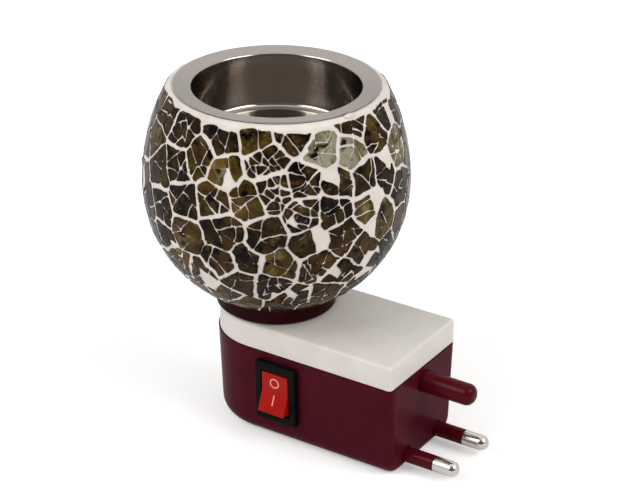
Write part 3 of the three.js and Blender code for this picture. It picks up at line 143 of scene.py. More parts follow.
# Sizes of the switch
BEZEL_WIDTH = 15 * MM
BEZEL_HEIGHT = 21 * MM
BEZEL_THICKNESS = 2 * MM
BEZEL_CORNER = 0.6 * MM
BEZEL_EDGE = 0.45 * MM
BEZEL_RIM = 1.1 * MM
SWITCH_DEPTH = 13 * MM
OPENING_WIDTH = 10.4 * MM
OPENING_HEIGHT = 15.4 * MM
ROCKER_WIDTH = 9.8 * MM
ROCKER_HALF_LENGTH = 6.8 * MM
ROCKER_CROWN = 1.7 * MM
ROCKER_SKIRT = 1.9 * MM
ROCKER_SKIRT_INSET = 0.4 * MM
ROCKER_EDGE = 0.35 * MM
ROCKER_VALLEY = 1.2 * MM
ROCKER_TILT = math.radians(12.5)
ROCKER_PIVOT_OUT = 0.6 * MM
MARK_SIZE = 3.5 * MM
MARK_STROKE = 0.42 * MM
MARK_RISE = 0.04 * MM
MARK_UP = 3.6 * MM
MARK_DOWN = 2.4 * MM

# Sizes of the pins and screws
SCREW_COUNT = 4
SCREW_TURN = 0.5
SLEEVE_LENGTH = 10.3 * MM
SLEEVE_EDGE = 0.15 * MM
PIN_RADIUS = 2.55 * MM
PIN_CORE_RADIUS = 1.75 * MM
PIN_EDGE = 0.1 * MM
EARTH_RADIUS = 3.55 * MM
EARTH_TIP_RADIUS = 2.84 * MM
EARTH_Z = 26.8 * MM
SCREW_HEAD = 1.6 * MM
SCREW_HEAD_ROUND = 0.5 * MM
SCREW_SHANK = 1.4 * MM
SCREW_TIP = 2 * MM
RECESS_WIDTH = 2.4 * MM
RECESS_ARM = 0.7 * MM
RECESS_DEPTH = 0.9 * MM

# Steps of turned and rounded shapes
TURN_STEPS = 96
ROUND_STEPS = 48
GROUT_TURN_STEPS = 144
CUP_TURN_STEPS = 128
SCREW_STEPS = 40
GLASS_STEPS = 40
GROUT_STEPS = 72
SCATTER_STEPS = 200
BLOB_STEPS = 24
ARC_STEPS = 8
NEAR = 0.02 * MM
FACING = 0.9
SHARP_ANGLE = math.radians(60)
ROCKER_SHARP_ANGLE = math.radians(50)

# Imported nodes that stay, by finish
PORCELAIN_NODES = ("lamp_holder", "globe_clamp_ring", "bulb_insulator")
BRASS_NODES = ("holder_thread_shell", "holder_centre_contact", "holder_terminal_live",
               "holder_terminal_neutral", "bulb_foot_contact", "switch_line_terminal",
               "switch_load_terminal", "contact_bridge")
GLASS_NODES = ("bulb_envelope", "bulb_stem")
BLACK_NODES = ("neutral_wire", "pin_retainer", "rocker_plunger")
RED_NODES = ("line_wire", "switched_wire")
ZINC_NODES = ("retainer_screw_1", "retainer_screw_2", "plunger_spring", "bulb_filament")
NICKEL_NODES = ("bulb_cap",)

# The camera that the photo was taken with, and the room
PHOTO_WIDTH = 635
FOCAL_PIXELS = 2101.72
SENSOR = 36
CAMERA_TARGET = Vector((15.61, 0, 62.52)) * MM
CAMERA_DISTANCE = 667.18 * MM
CAMERA_AZIMUTH = math.radians(32.40)
CAMERA_ELEVATION = math.radians(26.26)
CAMERA_ROLL = math.radians(0.63)
CAMERA_NEAREST = 10 * MM
CAMERA_BACK = Vector((math.sin(CAMERA_AZIMUTH) * math.cos(CAMERA_ELEVATION),
                      -math.cos(CAMERA_AZIMUTH) * math.cos(CAMERA_ELEVATION), math.sin(CAMERA_ELEVATION)))
ROOM_LIGHT = 0.55
WALL_LOW = 0.3
WALL_HIGH = 0.52
WALL_LOW_LIGHT = 0.75
DARK_FROM = 0.68
DARK_FULL = 0.88
DARK_LIGHT = 0.16
LAMP_TURN = math.radians(62)
LAMP_DISTANCE = 0.9
LAMP_RISE = 0.85
LAMP_WIDTH = 0.75
LAMP_HEIGHT = 0.5
LAMP_POWER = 6.4
FLOOR_SIZE = 12
FLOOR_SHADOW_REACH = 0.25
FLOOR_WHITE_FROM = 1
FLOOR_GLOW_NEAR = 0.3

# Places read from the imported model
house_low, house_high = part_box("lower_housing")
cover_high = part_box("top_cover")[1]
collar_low, collar_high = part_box("globe_collar")
glass_low, glass_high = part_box("glass_globe")
cup_low, cup_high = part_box("camphor_cup")

HALF_WIDTH = house_high.y
HOUSING_HEIGHT = house_high.z
ROUND_X = house_low.x + HALF_WIDTH
PLUG_X = house_high.x
COVER_BASE_Z = HOUSING_HEIGHT + SEAM
COVER_TOP_Z = cover_high.z
WALL_LEAN = math.atan(HOUSING_DRAFT / HOUSING_HEIGHT)
GLOBE_BASE_Z = glass_low.z + GLOBE_FOOT_LIFT
GLOBE_TOP_Z = glass_high.z
# The top of the glass floor stays as packed, clear of the clamp ring
GLOBE_FLOOR_Z = glass_low.z + GLASS_THICKNESS
GLOBE_MIDDLE_Z = GLOBE_BASE_Z + GLOBE_MIDDLE_RISE


def ellipse_height(rise, radius):
    """Half height of the ellipse that narrows from the widest ring to a radius over a rise."""
    return rise / math.sqrt(1 - (radius / GLOBE_RADIUS) ** 2)


GLOBE_LOWER_HEIGHT = ellipse_height(GLOBE_MIDDLE_RISE, GLOBE_FOOT_RADIUS)
GLOBE_UPPER_HEIGHT = ellipse_height(GLOBE_TOP_Z - GLOBE_MIDDLE_Z, GLOBE_MOUTH_RADIUS)


# Working by hand in edit mode

def begin(name, add, **settings):
    """Adds a primitive by itself, names it and opens it in edit mode with nothing selected."""
    bpy.ops.object.select_all(action="DESELECT")
    add(**settings)
    piece = bpy.context.active_object
    piece.name = name
    piece.data.name = name
    bpy.ops.object.mode_set(mode="EDIT")
    bpy.ops.mesh.select_all(action="DESELECT")
    return piece


def choose(piece, kind, test):
    """Selects the vertices, edges or faces that pass a test."""
    bpy.ops.mesh.select_mode(type=kind)
    bpy.ops.mesh.select_all(action="DESELECT")
    shape = bmesh.from_edit_mesh(piece.data)
    elements = {"VERT": shape.verts, "EDGE": shape.edges, "FACE": shape.faces}[kind]
    for element in elements:
        if test(element):
            element.select_set(True)
    shape.select_flush_mode()
    bmesh.update_edit_mesh(piece.data)


def all_points(element, test):
    return all(test(vertex.co) for vertex in element.verts)


def at_height(z):
    """A test for edges and faces that lie at one height."""
    return lambda element: all_points(element, lambda at: abs(at.z - z) < NEAR)


def soften(radius, segments=4):
    """Rounds the selected edges."""
    bpy.ops.mesh.bevel(offset=radius, segments=segments, affect="EDGES", clamp_overlap=False)


def end(piece):
    """Merges doubles, turns the faces outwards and leaves edit mode."""
    bpy.ops.mesh.select_all(action="SELECT")
    bpy.ops.mesh.remove_doubles(threshold=NEAR / 10)
    bpy.ops.mesh.normals_make_consistent(inside=False)
    bpy.ops.object.mode_set(mode="OBJECT")
    return piece


def extrude(step):
    bpy.ops.mesh.extrude_region_move(TRANSFORM_OT_translate={"value": step})


def alone(piece):
    """Makes a piece the only selected and the active one."""
    bpy.ops.object.select_all(action="DESELECT")
    piece.select_set(True)
    bpy.context.view_layer.objects.active = piece


def modify(piece, kind, **settings):
    """Adds a modifier with its settings and applies it."""
    modifier = piece.modifiers.new(kind.lower(), kind)
    for name, value in settings.items():
        setattr(modifier, name, value)
    alone(piece)
    bpy.ops.object.modifier_apply(modifier=modifier.name)


def combine(piece, other, operation="DIFFERENCE"):
    """Cuts another shape out of a piece, or welds it on, and takes the other away."""
    modify(piece, "BOOLEAN", object=other, operation=operation, solver="EXACT")
    bpy.data.objects.remove(other)


def put(piece, matrix):
    """Moves a piece to its place and applies the move to its mesh."""
    piece.matrix_world = matrix
    alone(piece)
    bpy.ops.object.transform_apply(location=True, rotation=True, scale=True)
    return piece


def hand_over(piece, body, finish, slot, *nodes, angle=30):
    """Gives a finished piece its shading, finish and body, and hides the nodes that it stands for."""
    alone(piece)
    bpy.ops.object.shade_smooth_by_angle(angle=math.radians(angle))
    modify(piece, "WEIGHTED_NORMAL", keep_sharp=True)
    if not piece.data.materials:
        piece.data.materials.append(finish)
    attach(piece, body)
    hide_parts(*nodes)
    return piece


def arc(centre_x, centre_z, radius, start, stop, steps=ARC_STEPS):
    """Points of an arc in degrees, in the plane of a profile."""
    angles = [math.radians(start + (stop - start) * step / steps) for step in range(steps + 1)]
    return [(centre_x + radius * math.cos(angle), centre_z + radius * math.sin(angle)) for angle in angles]


def draw(name, points):
    """Draws an outline point by point, by extruding a single vertex."""
    piece = begin(name, bpy.ops.mesh.primitive_plane_add, size=MM)
    bpy.ops.mesh.select_mode(type="VERT")
    bpy.ops.mesh.select_all(action="SELECT")
    bpy.ops.mesh.merge(type="CENTER")
    bpy.ops.transform.translate(value=points[0])
    for before, after in zip(points, points[1:]):
        step = Vector(after) - Vector(before)
        bpy.ops.mesh.extrude_vertices_move(TRANSFORM_OT_translate={"value": step})
    return piece


def turn(name, profile, steps=TURN_STEPS):
    """Spins a profile of radius and height round the upright axis."""
    piece = draw(name, [(radius, 0, height) for radius, height in profile])
    bpy.ops.mesh.select_all(action="SELECT")
    bpy.ops.mesh.spin(steps=steps, angle=2 * math.pi, center=(0, 0, 0), axis=(0, 0, 1))
    return end(piece)


def turn_along_x(name, profile, y, z, steps=ROUND_STEPS):
    """Spins a profile of radius and reach round a line that points out of the plug face."""
    piece = turn(name, profile, steps)
    return put(piece, Matrix.Translation((0, y, z)) @ Matrix.Rotation(math.pi / 2, 4, "Y"))


# Finishes

def colour(code):
    """Turns an sRGB hex colour to the linear values of a socket."""
    shares = [int(code[start:start + 2], 16) / 255 for start in (1, 3, 5)]
    linear = [share / 12.92 if share <= 0.04045 else ((share + 0.055) / 1.055) ** 2.4 for share in shares]
    return (*linear, 1)


def node(tree, kind, inputs=None, stops=None, **settings):
    """Adds a node: sockets among its inputs are linked, other inputs are values, and stops fill a ramp."""
    new = tree.nodes.new("ShaderNode" + kind)
    for name, value in settings.items():
        setattr(new, name, value)
    for name, value in (inputs or {}).items():
        if isinstance(value, bpy.types.NodeSocket):
            tree.links.new(value, new.inputs[name])
        else:
            new.inputs[name].default_value = value
    if stops:
        elements = new.color_ramp.elements
        while len(elements) < len(stops):
            elements.new(1)
        for element, (place, shade) in zip(elements, stops):
            element.position = place
            element.color = colour(shade)
    return new


def new_finish(name):
    """A material with a shader and an output, and the piece's own coordinates in metres."""
    finish = bpy.data.materials.new(name)
    finish.use_nodes = True
    tree = finish.node_tree
    tree.nodes.clear()
    shader = node(tree, "BsdfPrincipled")
    node(tree, "OutputMaterial", {"Surface": shader.outputs["BSDF"]})
    where = node(tree, "TexCoord").outputs["Object"]
    return finish, tree, shader, where


def per(size):
    """Texture scale for a pattern whose features are this far apart."""
    return 1 / size


def moulded_plastic(name, shade, paler, roughness, gloss):
    """Injection moulded plastic: satin, with a faint spark-eroded grain and slow shifts of shade."""
    finish, tree, shader, where = new_finish(name)
    clouds = node(tree, "TexNoise", {"Vector": where, "Scale": per(9 * MM), "Detail": 3})
    shades = node(tree, "ValToRGB", {"Fac": clouds.outputs["Fac"]}, stops=[(0.35, shade), (0.7, paler)])
    # the real grain is near 0.1 mm and is drawn coarser so that it shows
    grain = node(tree, "TexNoise", {"Vector": where, "Scale": per(0.35 * MM), "Detail": 2})
    bump = node(tree, "Bump", {"Height": grain.outputs["Fac"], "Strength": 0.12, "Distance": 0.02 * MM})
    rough = node(tree, "MapRange", {"Value": clouds.outputs["Fac"], "To Min": roughness - 0.04,
                                    "To Max": roughness + 0.05})
    tree.links.new(shades.outputs["Color"], shader.inputs["Base Color"])
    tree.links.new(rough.outputs["Result"], shader.inputs["Roughness"])
    tree.links.new(bump.outputs["Normal"], shader.inputs["Normal"])
    shader.inputs["Specular IOR Level"].default_value = gloss
    return finish


def grout_cement():
    """Cement grout: chalky warm white, finely sandy, with small pits and a few grey specks."""
    finish, tree, shader, where = new_finish("cement_grout")
    sand = node(tree, "TexNoise", {"Vector": where, "Scale": per(0.8 * MM), "Detail": 4})
    clouds = node(tree, "TexNoise", {"Vector": where, "Scale": per(7 * MM), "Detail": 3})
    body = node(tree, "ValToRGB", {"Fac": clouds.outputs["Fac"]}, stops=[(0.3, "#d3c9c1"), (0.7, "#e0d8d1")])
    specks = node(tree, "ValToRGB", {"Fac": sand.outputs["Fac"]},
                  stops=[(0.24, "#8d8078"), (0.33, "#ffffff")])
    tinted = node(tree, "Mix", {0: 0.7, 6: body.outputs["Color"], 7: specks.outputs["Color"]},
                  data_type="RGBA", blend_type="MULTIPLY")
    bump = node(tree, "Bump", {"Height": sand.outputs["Fac"], "Strength": 0.35, "Distance": 0.12 * MM})
    tree.links.new(tinted.outputs[2], shader.inputs["Base Color"])
    tree.links.new(bump.outputs["Normal"], shader.inputs["Normal"])
    shader.inputs["Roughness"].default_value = 0.85
    shader.inputs["Specular IOR Level"].default_value = 0.2
    return finish


def shard_glass():
    """Stained glass shards: glossy, olive brown to black, some silvery, cloudy inside with dark blots."""
    finish, tree, shader, where = new_finish("stained_glass")
    tone = node(tree, "Attribute", attribute_name="tone")
    island = node(tree, "NewGeometry").outputs["Random Per Island"]
    shift = node(tree, "MapRange", {"Value": island, "To Min": -0.1, "To Max": 0.1})
    shard = node(tree, "Math", {0: tone.outputs["Fac"], 1: shift.outputs["Result"]}, operation="ADD")
    streaks = node(tree, "TexNoise", {"Vector": where, "Scale": per(5 * MM), "Detail": 4, "Distortion": 1})
    flow = node(tree, "MapRange", {"Value": streaks.outputs["Fac"], "From Min": 0.3, "From Max": 0.7,
                                   "To Min": -0.24, "To Max": 0.24})
    mixed = node(tree, "Math", {0: shard.outputs["Value"], 1: flow.outputs["Result"]}, operation="ADD")
    body = node(tree, "ValToRGB", {"Fac": mixed.outputs["Value"]}, stops=[
        (0.0, "#070504"), (0.14, "#1a1108"), (0.3, "#291b0b"), (0.45, "#37270e"), (0.6, "#463413"),
        (0.74, "#56451c"), (0.87, "#6b634a"), (1.0, "#8d8773")])
    ember = node(tree, "TexNoise", {"Vector": where, "Scale": per(7 * MM), "Detail": 2})
    glow = node(tree, "ValToRGB", {"Fac": ember.outputs["Fac"]},
                stops=[(0.56, "#000000"), (0.72, "#46300c")])
    warm = node(tree, "Mix", {0: 0.6, 6: body.outputs["Color"], 7: glow.outputs["Color"]},
                data_type="RGBA", blend_type="ADD")
    blots = node(tree, "TexNoise", {"Vector": where, "Scale": per(3.6 * MM), "Detail": 1})
    spots = node(tree, "ValToRGB", {"Fac": blots.outputs["Fac"]},
                 stops=[(0.3, "#2e261e"), (0.44, "#ffffff")])
    spotted = node(tree, "Mix", {0: 1, 6: warm.outputs[2], 7: spots.outputs["Color"]},
                   data_type="RGBA", blend_type="MULTIPLY")
    frost = node(tree, "TexNoise", {"Vector": where, "Scale": per(1.1 * MM), "Detail": 5})
    flecks = node(tree, "ValToRGB", {"Fac": frost.outputs["Fac"]},
                  stops=[(0.6, "#000000"), (0.76, "#8a8470")])
    patches = node(tree, "TexNoise", {"Vector": where, "Scale": per(13 * MM), "Detail": 1})
    share = node(tree, "MapRange", {"Value": patches.outputs["Fac"], "From Min": 0.48, "From Max": 0.65,
                                    "To Max": 0.75})
    layers = {0: share.outputs["Result"], 6: spotted.outputs[2], 7: flecks.outputs["Color"]}
    frosted = node(tree, "Mix", layers, data_type="RGBA", blend_type="ADD")
    waves = node(tree, "TexNoise", {"Vector": where, "Scale": per(4 * MM), "Detail": 2})
    bump = node(tree, "Bump", {"Height": waves.outputs["Fac"], "Strength": 0.2, "Distance": 0.1 * MM})
    tree.links.new(frosted.outputs[2], shader.inputs["Base Color"])
    tree.links.new(bump.outputs["Normal"], shader.inputs["Normal"])
    shader.inputs["Roughness"].default_value = 0.16
    shader.inputs["Specular IOR Level"].default_value = 0.07
    return finish


def metal(name, shade, roughness, grain, wear):
    """Plated or polished metal: a clear mirror with faint tool marks and slightly duller patches."""
    finish, tree, shader, where = new_finish(name)
    marks = node(tree, "TexNoise", {"Vector": where, "Scale": per(grain), "Detail": 4})
    dull = node(tree, "MapRange", {"Value": marks.outputs["Fac"], "From Min": 0.35, "From Max": 0.75,
                                   "To Min": roughness, "To Max": roughness + wear})
    tree.links.new(dull.outputs["Result"], shader.inputs["Roughness"])
    shader.inputs["Base Color"].default_value = colour(shade)
    shader.inputs["Metallic"].default_value = 1
    return finish


def spun_steel():
    """Spun and polished stainless steel: a grey mirror with faint rings from the lathe."""
    finish, tree, shader, where = new_finish("polished_stainless_steel")
    # the real rings are near 0.05 mm apart and are drawn coarser so that they show
    rings = node(tree, "TexWave", {"Vector": where, "Scale": per(6 * MM)},
                 wave_type="RINGS", rings_direction="Z")
    smears = node(tree, "TexNoise", {"Vector": where, "Scale": per(8 * MM), "Detail": 4})
    dull = node(tree, "MapRange", {"Value": smears.outputs["Fac"], "From Min": 0.35, "From Max": 0.75,
                                   "To Min": 0.13, "To Max": 0.17})
    bump = node(tree, "Bump", {"Height": rings.outputs["Fac"], "Strength": 0.01, "Distance": 0.02 * MM})
    tree.links.new(dull.outputs["Result"], shader.inputs["Roughness"])
    tree.links.new(bump.outputs["Normal"], shader.inputs["Normal"])
    shader.inputs["Base Color"].default_value = colour("#aaa29b")
    shader.inputs["Metallic"].default_value = 1
    return finish


def clear_glass():
    """Blown soda-lime glass: clear with a faint grey-green cast and slow waves."""
    finish, tree, shader, where = new_finish("clear_glass")
    waves = node(tree, "TexNoise", {"Vector": where, "Scale": per(9 * MM), "Detail": 1})
    bump = node(tree, "Bump", {"Height": waves.outputs["Fac"], "Strength": 0.1, "Distance": 0.1 * MM})
    tree.links.new(bump.outputs["Normal"], shader.inputs["Normal"])
    shader.inputs["Base Color"].default_value = colour("#eef2ee")
    shader.inputs["Roughness"].default_value = 0.03
    shader.inputs["Transmission Weight"].default_value = 1
    shader.inputs["IOR"].default_value = 1.52
    return finish


MAROON = moulded_plastic("maroon_abs", "#420c18", "#4a0f1d", 0.3, 0.035)
# The housing's maroon with painted shade: a darker copy for the collar, which stands in the shadow under the
# globe
MAROON_PAINTED_SHADE = moulded_plastic("maroon_abs_painted_shade", "#26060b", "#2b080f", 0.3, 0.035)
CREAM = moulded_plastic("cream_abs", "#d4cec7", "#dad5cf", 0.42, 0.2)
PIN_MAROON = moulded_plastic("maroon_nylon", "#460811", "#4e0a14", 0.2, 0.07)
BLACK = moulded_plastic("black_nylon", "#060807", "#0a0c0b", 0.45, 0.06)
RED = moulded_plastic("red_polycarbonate", "#9c100a", "#a6170f", 0.32, 0.1)
PRINT = moulded_plastic("pad_print_ink", "#e39a92", "#e9a69e", 0.5, 0.2)
PORCELAIN = moulded_plastic("glazed_porcelain", "#dedad0", "#e8e5dd", 0.22, 0.5)
RED_PVC = moulded_plastic("red_pvc", "#8a1a16", "#96221d", 0.5, 0.4)
BLACK_PVC = moulded_plastic("black_pvc", "#131313", "#1a1a1a", 0.5, 0.4)
NICKEL = metal("nickel_plated_brass", "#d3cbc4", 0.12, 6 * MM, 0.04)
BRASS = metal("brass", "#b08d4a", 0.28, 2 * MM, 0.12)
ZINC = metal("zinc_plated_steel", "#9a9c9e", 0.35, 1.5 * MM, 0.15)
STEEL = spun_steel()
GLASS = clear_glass()
GROUT = grout_cement()
SHARDS = shard_glass()


# The base

def plan(name, half_width, plug_x, z):
    """A flat face with a round end, straight sides and a square plug end."""
    piece = begin(name, bpy.ops.mesh.primitive_circle_add, vertices=TURN_STEPS, radius=half_width,
                  fill_type="NGON", location=(ROUND_X, 0, z))
    bpy.ops.object.mode_set(mode="OBJECT")
    put(piece, piece.matrix_world.copy())
    bpy.ops.object.mode_set(mode="EDIT")
    bpy.ops.mesh.select_all(action="SELECT")
    bpy.ops.mesh.bisect(plane_co=(ROUND_X, 0, z), plane_no=(1, 0, 0), clear_outer=True, threshold=NEAR)
    choose(piece, "EDGE", lambda edge: all_points(edge, lambda at: abs(at.x - ROUND_X) < NEAR))
    extrude((plug_x - ROUND_X, 0, 0))
    choose(piece, "EDGE", lambda edge: all_points(edge, lambda at: abs(at.x - ROUND_X) < NEAR))
    bpy.ops.mesh.dissolve_edges(use_verts=False)
    bpy.ops.mesh.select_all(action="SELECT")
    return piece


def block(name, half_width, plug_x, from_z, to_z, narrower):
    """The plan drawn up or down to a height, and narrowed there, with the plug end kept upright."""
    piece = plan(name, half_width, plug_x, from_z)
    extrude((0, 0, to_z - from_z))
    share = 1 - narrower / half_width
    choose(piece, "VERT", lambda vertex: abs(vertex.co.z - to_z) < NEAR)
    bpy.ops.transform.resize(value=(share, share, 1), center_override=(ROUND_X, 0, to_z))
    middle = (ROUND_X + plug_x) / 2
    choose(piece, "VERT", lambda vertex: abs(vertex.co.z - to_z) < NEAR and vertex.co.x > middle)
    bpy.ops.transform.translate(value=((plug_x - ROUND_X) * (1 - share), 0, 0))
    return piece


def hollow(piece, half_width, plug_x, from_z, to_z, narrower, soft):
    """Cuts the room inside a block, with a soft corner at its far side."""
    room = block("room", half_width - HOUSING_WALL, plug_x - HOUSING_WALL, from_z, to_z, narrower)
    choose(room, "EDGE", at_height(to_z))
    soften(soft)
    end(room)
    combine(piece, room)


def rod_cutter(radius, start, stop):
    """A round cutter between two points."""
    start, stop = Vector(start), Vector(stop)
    along = stop - start
    bpy.ops.object.select_all(action="DESELECT")
    bpy.ops.mesh.primitive_cylinder_add(vertices=ROUND_STEPS, radius=radius, depth=along.length,
                                        location=(start + stop) / 2,
                                        rotation=along.to_track_quat("Z", "Y").to_euler())
    return bpy.context.active_object


def box_cutter(size, matrix):
    """A square cutter of three sizes, in a place."""
    bpy.ops.object.select_all(action="DESELECT")
    bpy.ops.mesh.primitive_cube_add(size=1)
    return put(bpy.context.active_object, matrix @ Matrix.Diagonal((*size, 1)))


def switch_place():
    """The frame of the switch on the leaning wall, with Y pointing into the housing."""
    joints = {joint["name"]: joint for joint in frame["record"]["behaviour"]["joints"]}
    lean = Matrix.Rotation(WALL_LEAN, 4, "X")
    out = lean.to_3x3() @ Vector((0, -1, 0))
    return Matrix.Translation(Vector(joints["rocker_tilt"]["pos_m"]) - out * ROCKER_PIVOT_OUT) @ lean


def screw_boxes():
    return [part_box(f"housing_screw_{number}") for number in range(1, SCREW_COUNT + 1)]


def pin_middle(name):
    """The middle of a pin's round. The earth pin's root is wider, so its height is a size of its own."""
    low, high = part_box(name)
    middle = (low + high) / 2
    return Vector((middle.x, middle.y, EARTH_Z)) if name == "earth_pin" else middle


def lower_housing():
    piece = block("lower_housing_moulding", HALF_WIDTH, PLUG_X, HOUSING_HEIGHT, 0, HOUSING_DRAFT)

    def at_plug(at):
        return abs(at.x - PLUG_X) < NEAR

    choose(piece, "EDGE", lambda edge: at_height(0)(edge) and not all_points(edge, at_plug))
    soften(HOUSING_EDGE_RADIUS, ARC_STEPS)
    choose(piece, "EDGE", lambda edge: all_points(edge, at_plug) and not at_height(HOUSING_HEIGHT)(edge))
    soften(HOUSING_CORNER_RADIUS)
    end(piece)
    hollow(piece, HALF_WIDTH, PLUG_X, HOUSING_HEIGHT + MM, HOUSING_FLOOR, HOUSING_DRAFT,
           HOUSING_EDGE_RADIUS - HOUSING_WALL)
    for low, high in screw_boxes():
        middle = (low + high) / 2
        head = (high.x - low.x) / 2 + SEAM
        combine(piece, rod_cutter(head, (middle.x, middle.y, -MM), (middle.x, middle.y, HOUSING_FLOOR + MM)))
    for name, radius in (("line_pin", PIN_RADIUS), ("neutral_pin", PIN_RADIUS), ("earth_pin", EARTH_RADIUS)):
        middle = pin_middle(name)
        inside = (PLUG_X - 2 * HOUSING_WALL, middle.y, middle.z)
        combine(piece, rod_cutter(radius + SEAM, inside, (PLUG_X + HOUSING_WALL, middle.y, middle.z)))
    room = 2 * (SEAM - BEZEL_RIM)
    combine(piece, box_cutter((BEZEL_WIDTH + room, SWITCH_CUT_DEPTH, BEZEL_HEIGHT + room), switch_place()))
    return hand_over(piece, "burner", MAROON, "maroon_plastic", "lower_housing")


def top_cover():
    half = HALF_WIDTH - COVER_INSET
    plug_x = PLUG_X - COVER_INSET
    piece = block("top_cover_moulding", half, plug_x, COVER_BASE_Z, COVER_TOP_Z, COVER_TAPER)

    def upright(edge):
        return abs((edge.verts[0].co - edge.verts[1].co).z) > MM

    choose(piece, "EDGE", lambda edge: upright(edge) and all_points(edge, lambda at: at.x > plug_x - NEAR))
    soften(COVER_CORNER_RADIUS, segments=6)
    choose(piece, "EDGE", at_height(COVER_TOP_Z))
    soften(COVER_EDGE_RADIUS, segments=6)
    end(piece)
    hollow(piece, half, plug_x, COVER_BASE_Z - MM, COVER_TOP_Z - HOUSING_WALL, COVER_TAPER, HOUSING_WALL / 4)
    combine(piece, rod_cutter(HOLDER_HOLE_RADIUS, (0, 0, COVER_BASE_Z), (0, 0, COVER_TOP_Z + MM)))
    return hand_over(piece, "burner", CREAM, "cream_plastic", "top_cover")


def globe_collar():
    low, high = collar_low.z, collar_high.z + GLOBE_FOOT_LIFT
    radius = collar_high.x + COLLAR_SPREAD
    soft = COLLAR_EDGE_RADIUS
    profile = [(HOLDER_HOLE_RADIUS, low)]
    profile += arc(radius - soft, low + soft, soft, -90, 0)
    profile += arc(radius - soft / 2, high - soft / 2, soft / 2, 0, 90)
    profile += [(HOLDER_HOLE_RADIUS, high), (HOLDER_HOLE_RADIUS, low)]
    piece = turn("globe_collar_ring", profile)
    # the collar gets the maroon with painted shade, darker for the shadow under the globe
    return hand_over(piece, "burner", MAROON_PAINTED_SHADE, "maroon_plastic", "globe_collar")


# The globe

def globe_height(z, depth):
    """Half height of the ellipse that a height belongs to, at a depth under the mosaic's surface."""
    return (GLOBE_UPPER_HEIGHT if z > GLOBE_MIDDLE_Z else GLOBE_LOWER_HEIGHT) - depth * SKIN_POLE_SHARE


def globe_profile(from_z, to_z, depth, steps):
    """Points of radius and height on the globe, in even steps of angle."""
    start = math.asin((from_z - GLOBE_MIDDLE_Z) / globe_height(from_z, depth))
    stop = math.asin((to_z - GLOBE_MIDDLE_Z) / globe_height(to_z, depth))
    points = []
    for step in range(steps + 1):
        angle = start + (stop - start) * step / steps
        height = globe_height(GLOBE_MIDDLE_Z + angle, depth)
        points.append(((GLOBE_RADIUS - depth) * math.cos(angle), GLOBE_MIDDLE_Z + height * math.sin(angle)))
    return points


def globe_outward(point):
    """The direction straight out of the globe at a point on it."""
    rise = (point.z - GLOBE_MIDDLE_Z) / globe_height(point.z, 0) ** 2
    return Vector((point.x / GLOBE_RADIUS ** 2, point.y / GLOBE_RADIUS ** 2, rise)).normalized()


def glass_globe():
    outside = globe_profile(GLOBE_BASE_Z, GLOBE_TOP_Z, SKIN_THICKNESS, GLASS_STEPS)
    inside = globe_profile(GLOBE_FLOOR_Z, GLOBE_TOP_Z, SKIN_THICKNESS + GLASS_THICKNESS, GLASS_STEPS)
    profile = [(HOLDER_HOLE_RADIUS, GLOBE_BASE_Z), *outside, *reversed(inside),
               (HOLDER_HOLE_RADIUS, GLOBE_FLOOR_Z), (HOLDER_HOLE_RADIUS, GLOBE_BASE_Z)]
    piece = turn("blown_glass_globe", profile)
    return hand_over(piece, "burner", GLASS, "clear_glass", "glass_globe")


def grout_bed():
    """The grout under the shards, with a round rim beside the cup's flange, and one stray blob."""
    outside = globe_profile(GLOBE_BASE_Z, GLOBE_TOP_Z - RIM_DROP, SHARD_PROUD, GROUT_STEPS)
    inside = globe_profile(GLOBE_BASE_Z, GLOBE_TOP_Z, SKIN_THICKNESS, GLASS_STEPS)
    wide, shoulder_z = outside[-1]
    crest = cup_high.x + 2 * RIM_GAP
    crest_z = cup_high.z - CUP_SHEET - RIM_GAP
    turns = [math.radians(90 * step / ARC_STEPS) for step in range(1, ARC_STEPS + 1)]
    rim = [(crest + (wide - crest) * math.cos(at), shoulder_z + (crest_z - shoulder_z) * math.sin(at))
           for at in turns]
    under_flange = (crest - 2 * RIM_DROP, GLOBE_TOP_Z + RIM_GAP)
    profile = [*outside, *rim, under_flange, *reversed(inside), outside[0]]
    piece = turn("mosaic_grout", profile, GROUT_TURN_STEPS)
    blob = begin("blob", bpy.ops.mesh.primitive_uv_sphere_add, segments=BLOB_STEPS,
                 ring_count=BLOB_STEPS // 2, radius=1)
    bpy.ops.mesh.select_all(action="SELECT")
    end(blob)
    round_turn = Matrix.Rotation(BLOB_ANGLE, 4, "Z")
    place = Matrix.Translation((crest + BLOB_SIZE[1], 0, crest_z)) @ Matrix.Rotation(math.pi / 2, 4, "Z")
    put(blob, round_turn @ place @ Matrix.Diagonal((*BLOB_SIZE, 1)))
    combine(piece, blob, "UNION")
    return hand_over(piece, "burner", GROUT, "mosaic_glass", "mosaic_skin")


def scatter(chance):
    """Places of the big shards, thrown at random and kept where they are far enough apart."""
    path = globe_profile(GLOBE_BASE_Z + FOOT_BAND, GLOBE_TOP_Z, 0, SCATTER_STEPS)
    places = []
    for _ in range(SHARD_TRIES):
        radius, z = chance.choice(path)
        angle = chance.uniform(0, 2 * math.pi)
        point = Vector((radius * math.cos(angle), radius * math.sin(angle), z))
        lone = all((point - other).length > SHARD_SPACING for other in places)
        if lone and chance.random() * GLOBE_RADIUS < radius:
            places.append(point)
    return places


def borders(chance, point, places):
    """Planes that bound a big shard: half way to each neighbour less the grout, and the bare bands."""
    planes = []
    for other in places:
        if 0 < (other - point).length < SHARD_REACH:
            away = (other - point).normalized()
            gap = chance.uniform(GROUT_LEAST, GROUT_MOST) / 2
            planes.append(((point + other) / 2 - away * gap, away))
    band = chance.uniform(BAND_LEAST, BAND_MOST)
    planes.append((Vector((0, 0, GLOBE_TOP_Z - band)), Vector((0, 0, 1))))
    planes.append((Vector((0, 0, GLOBE_BASE_Z + chance.uniform(0, FOOT_BAND))), Vector((0, 0, -1))))
    return planes


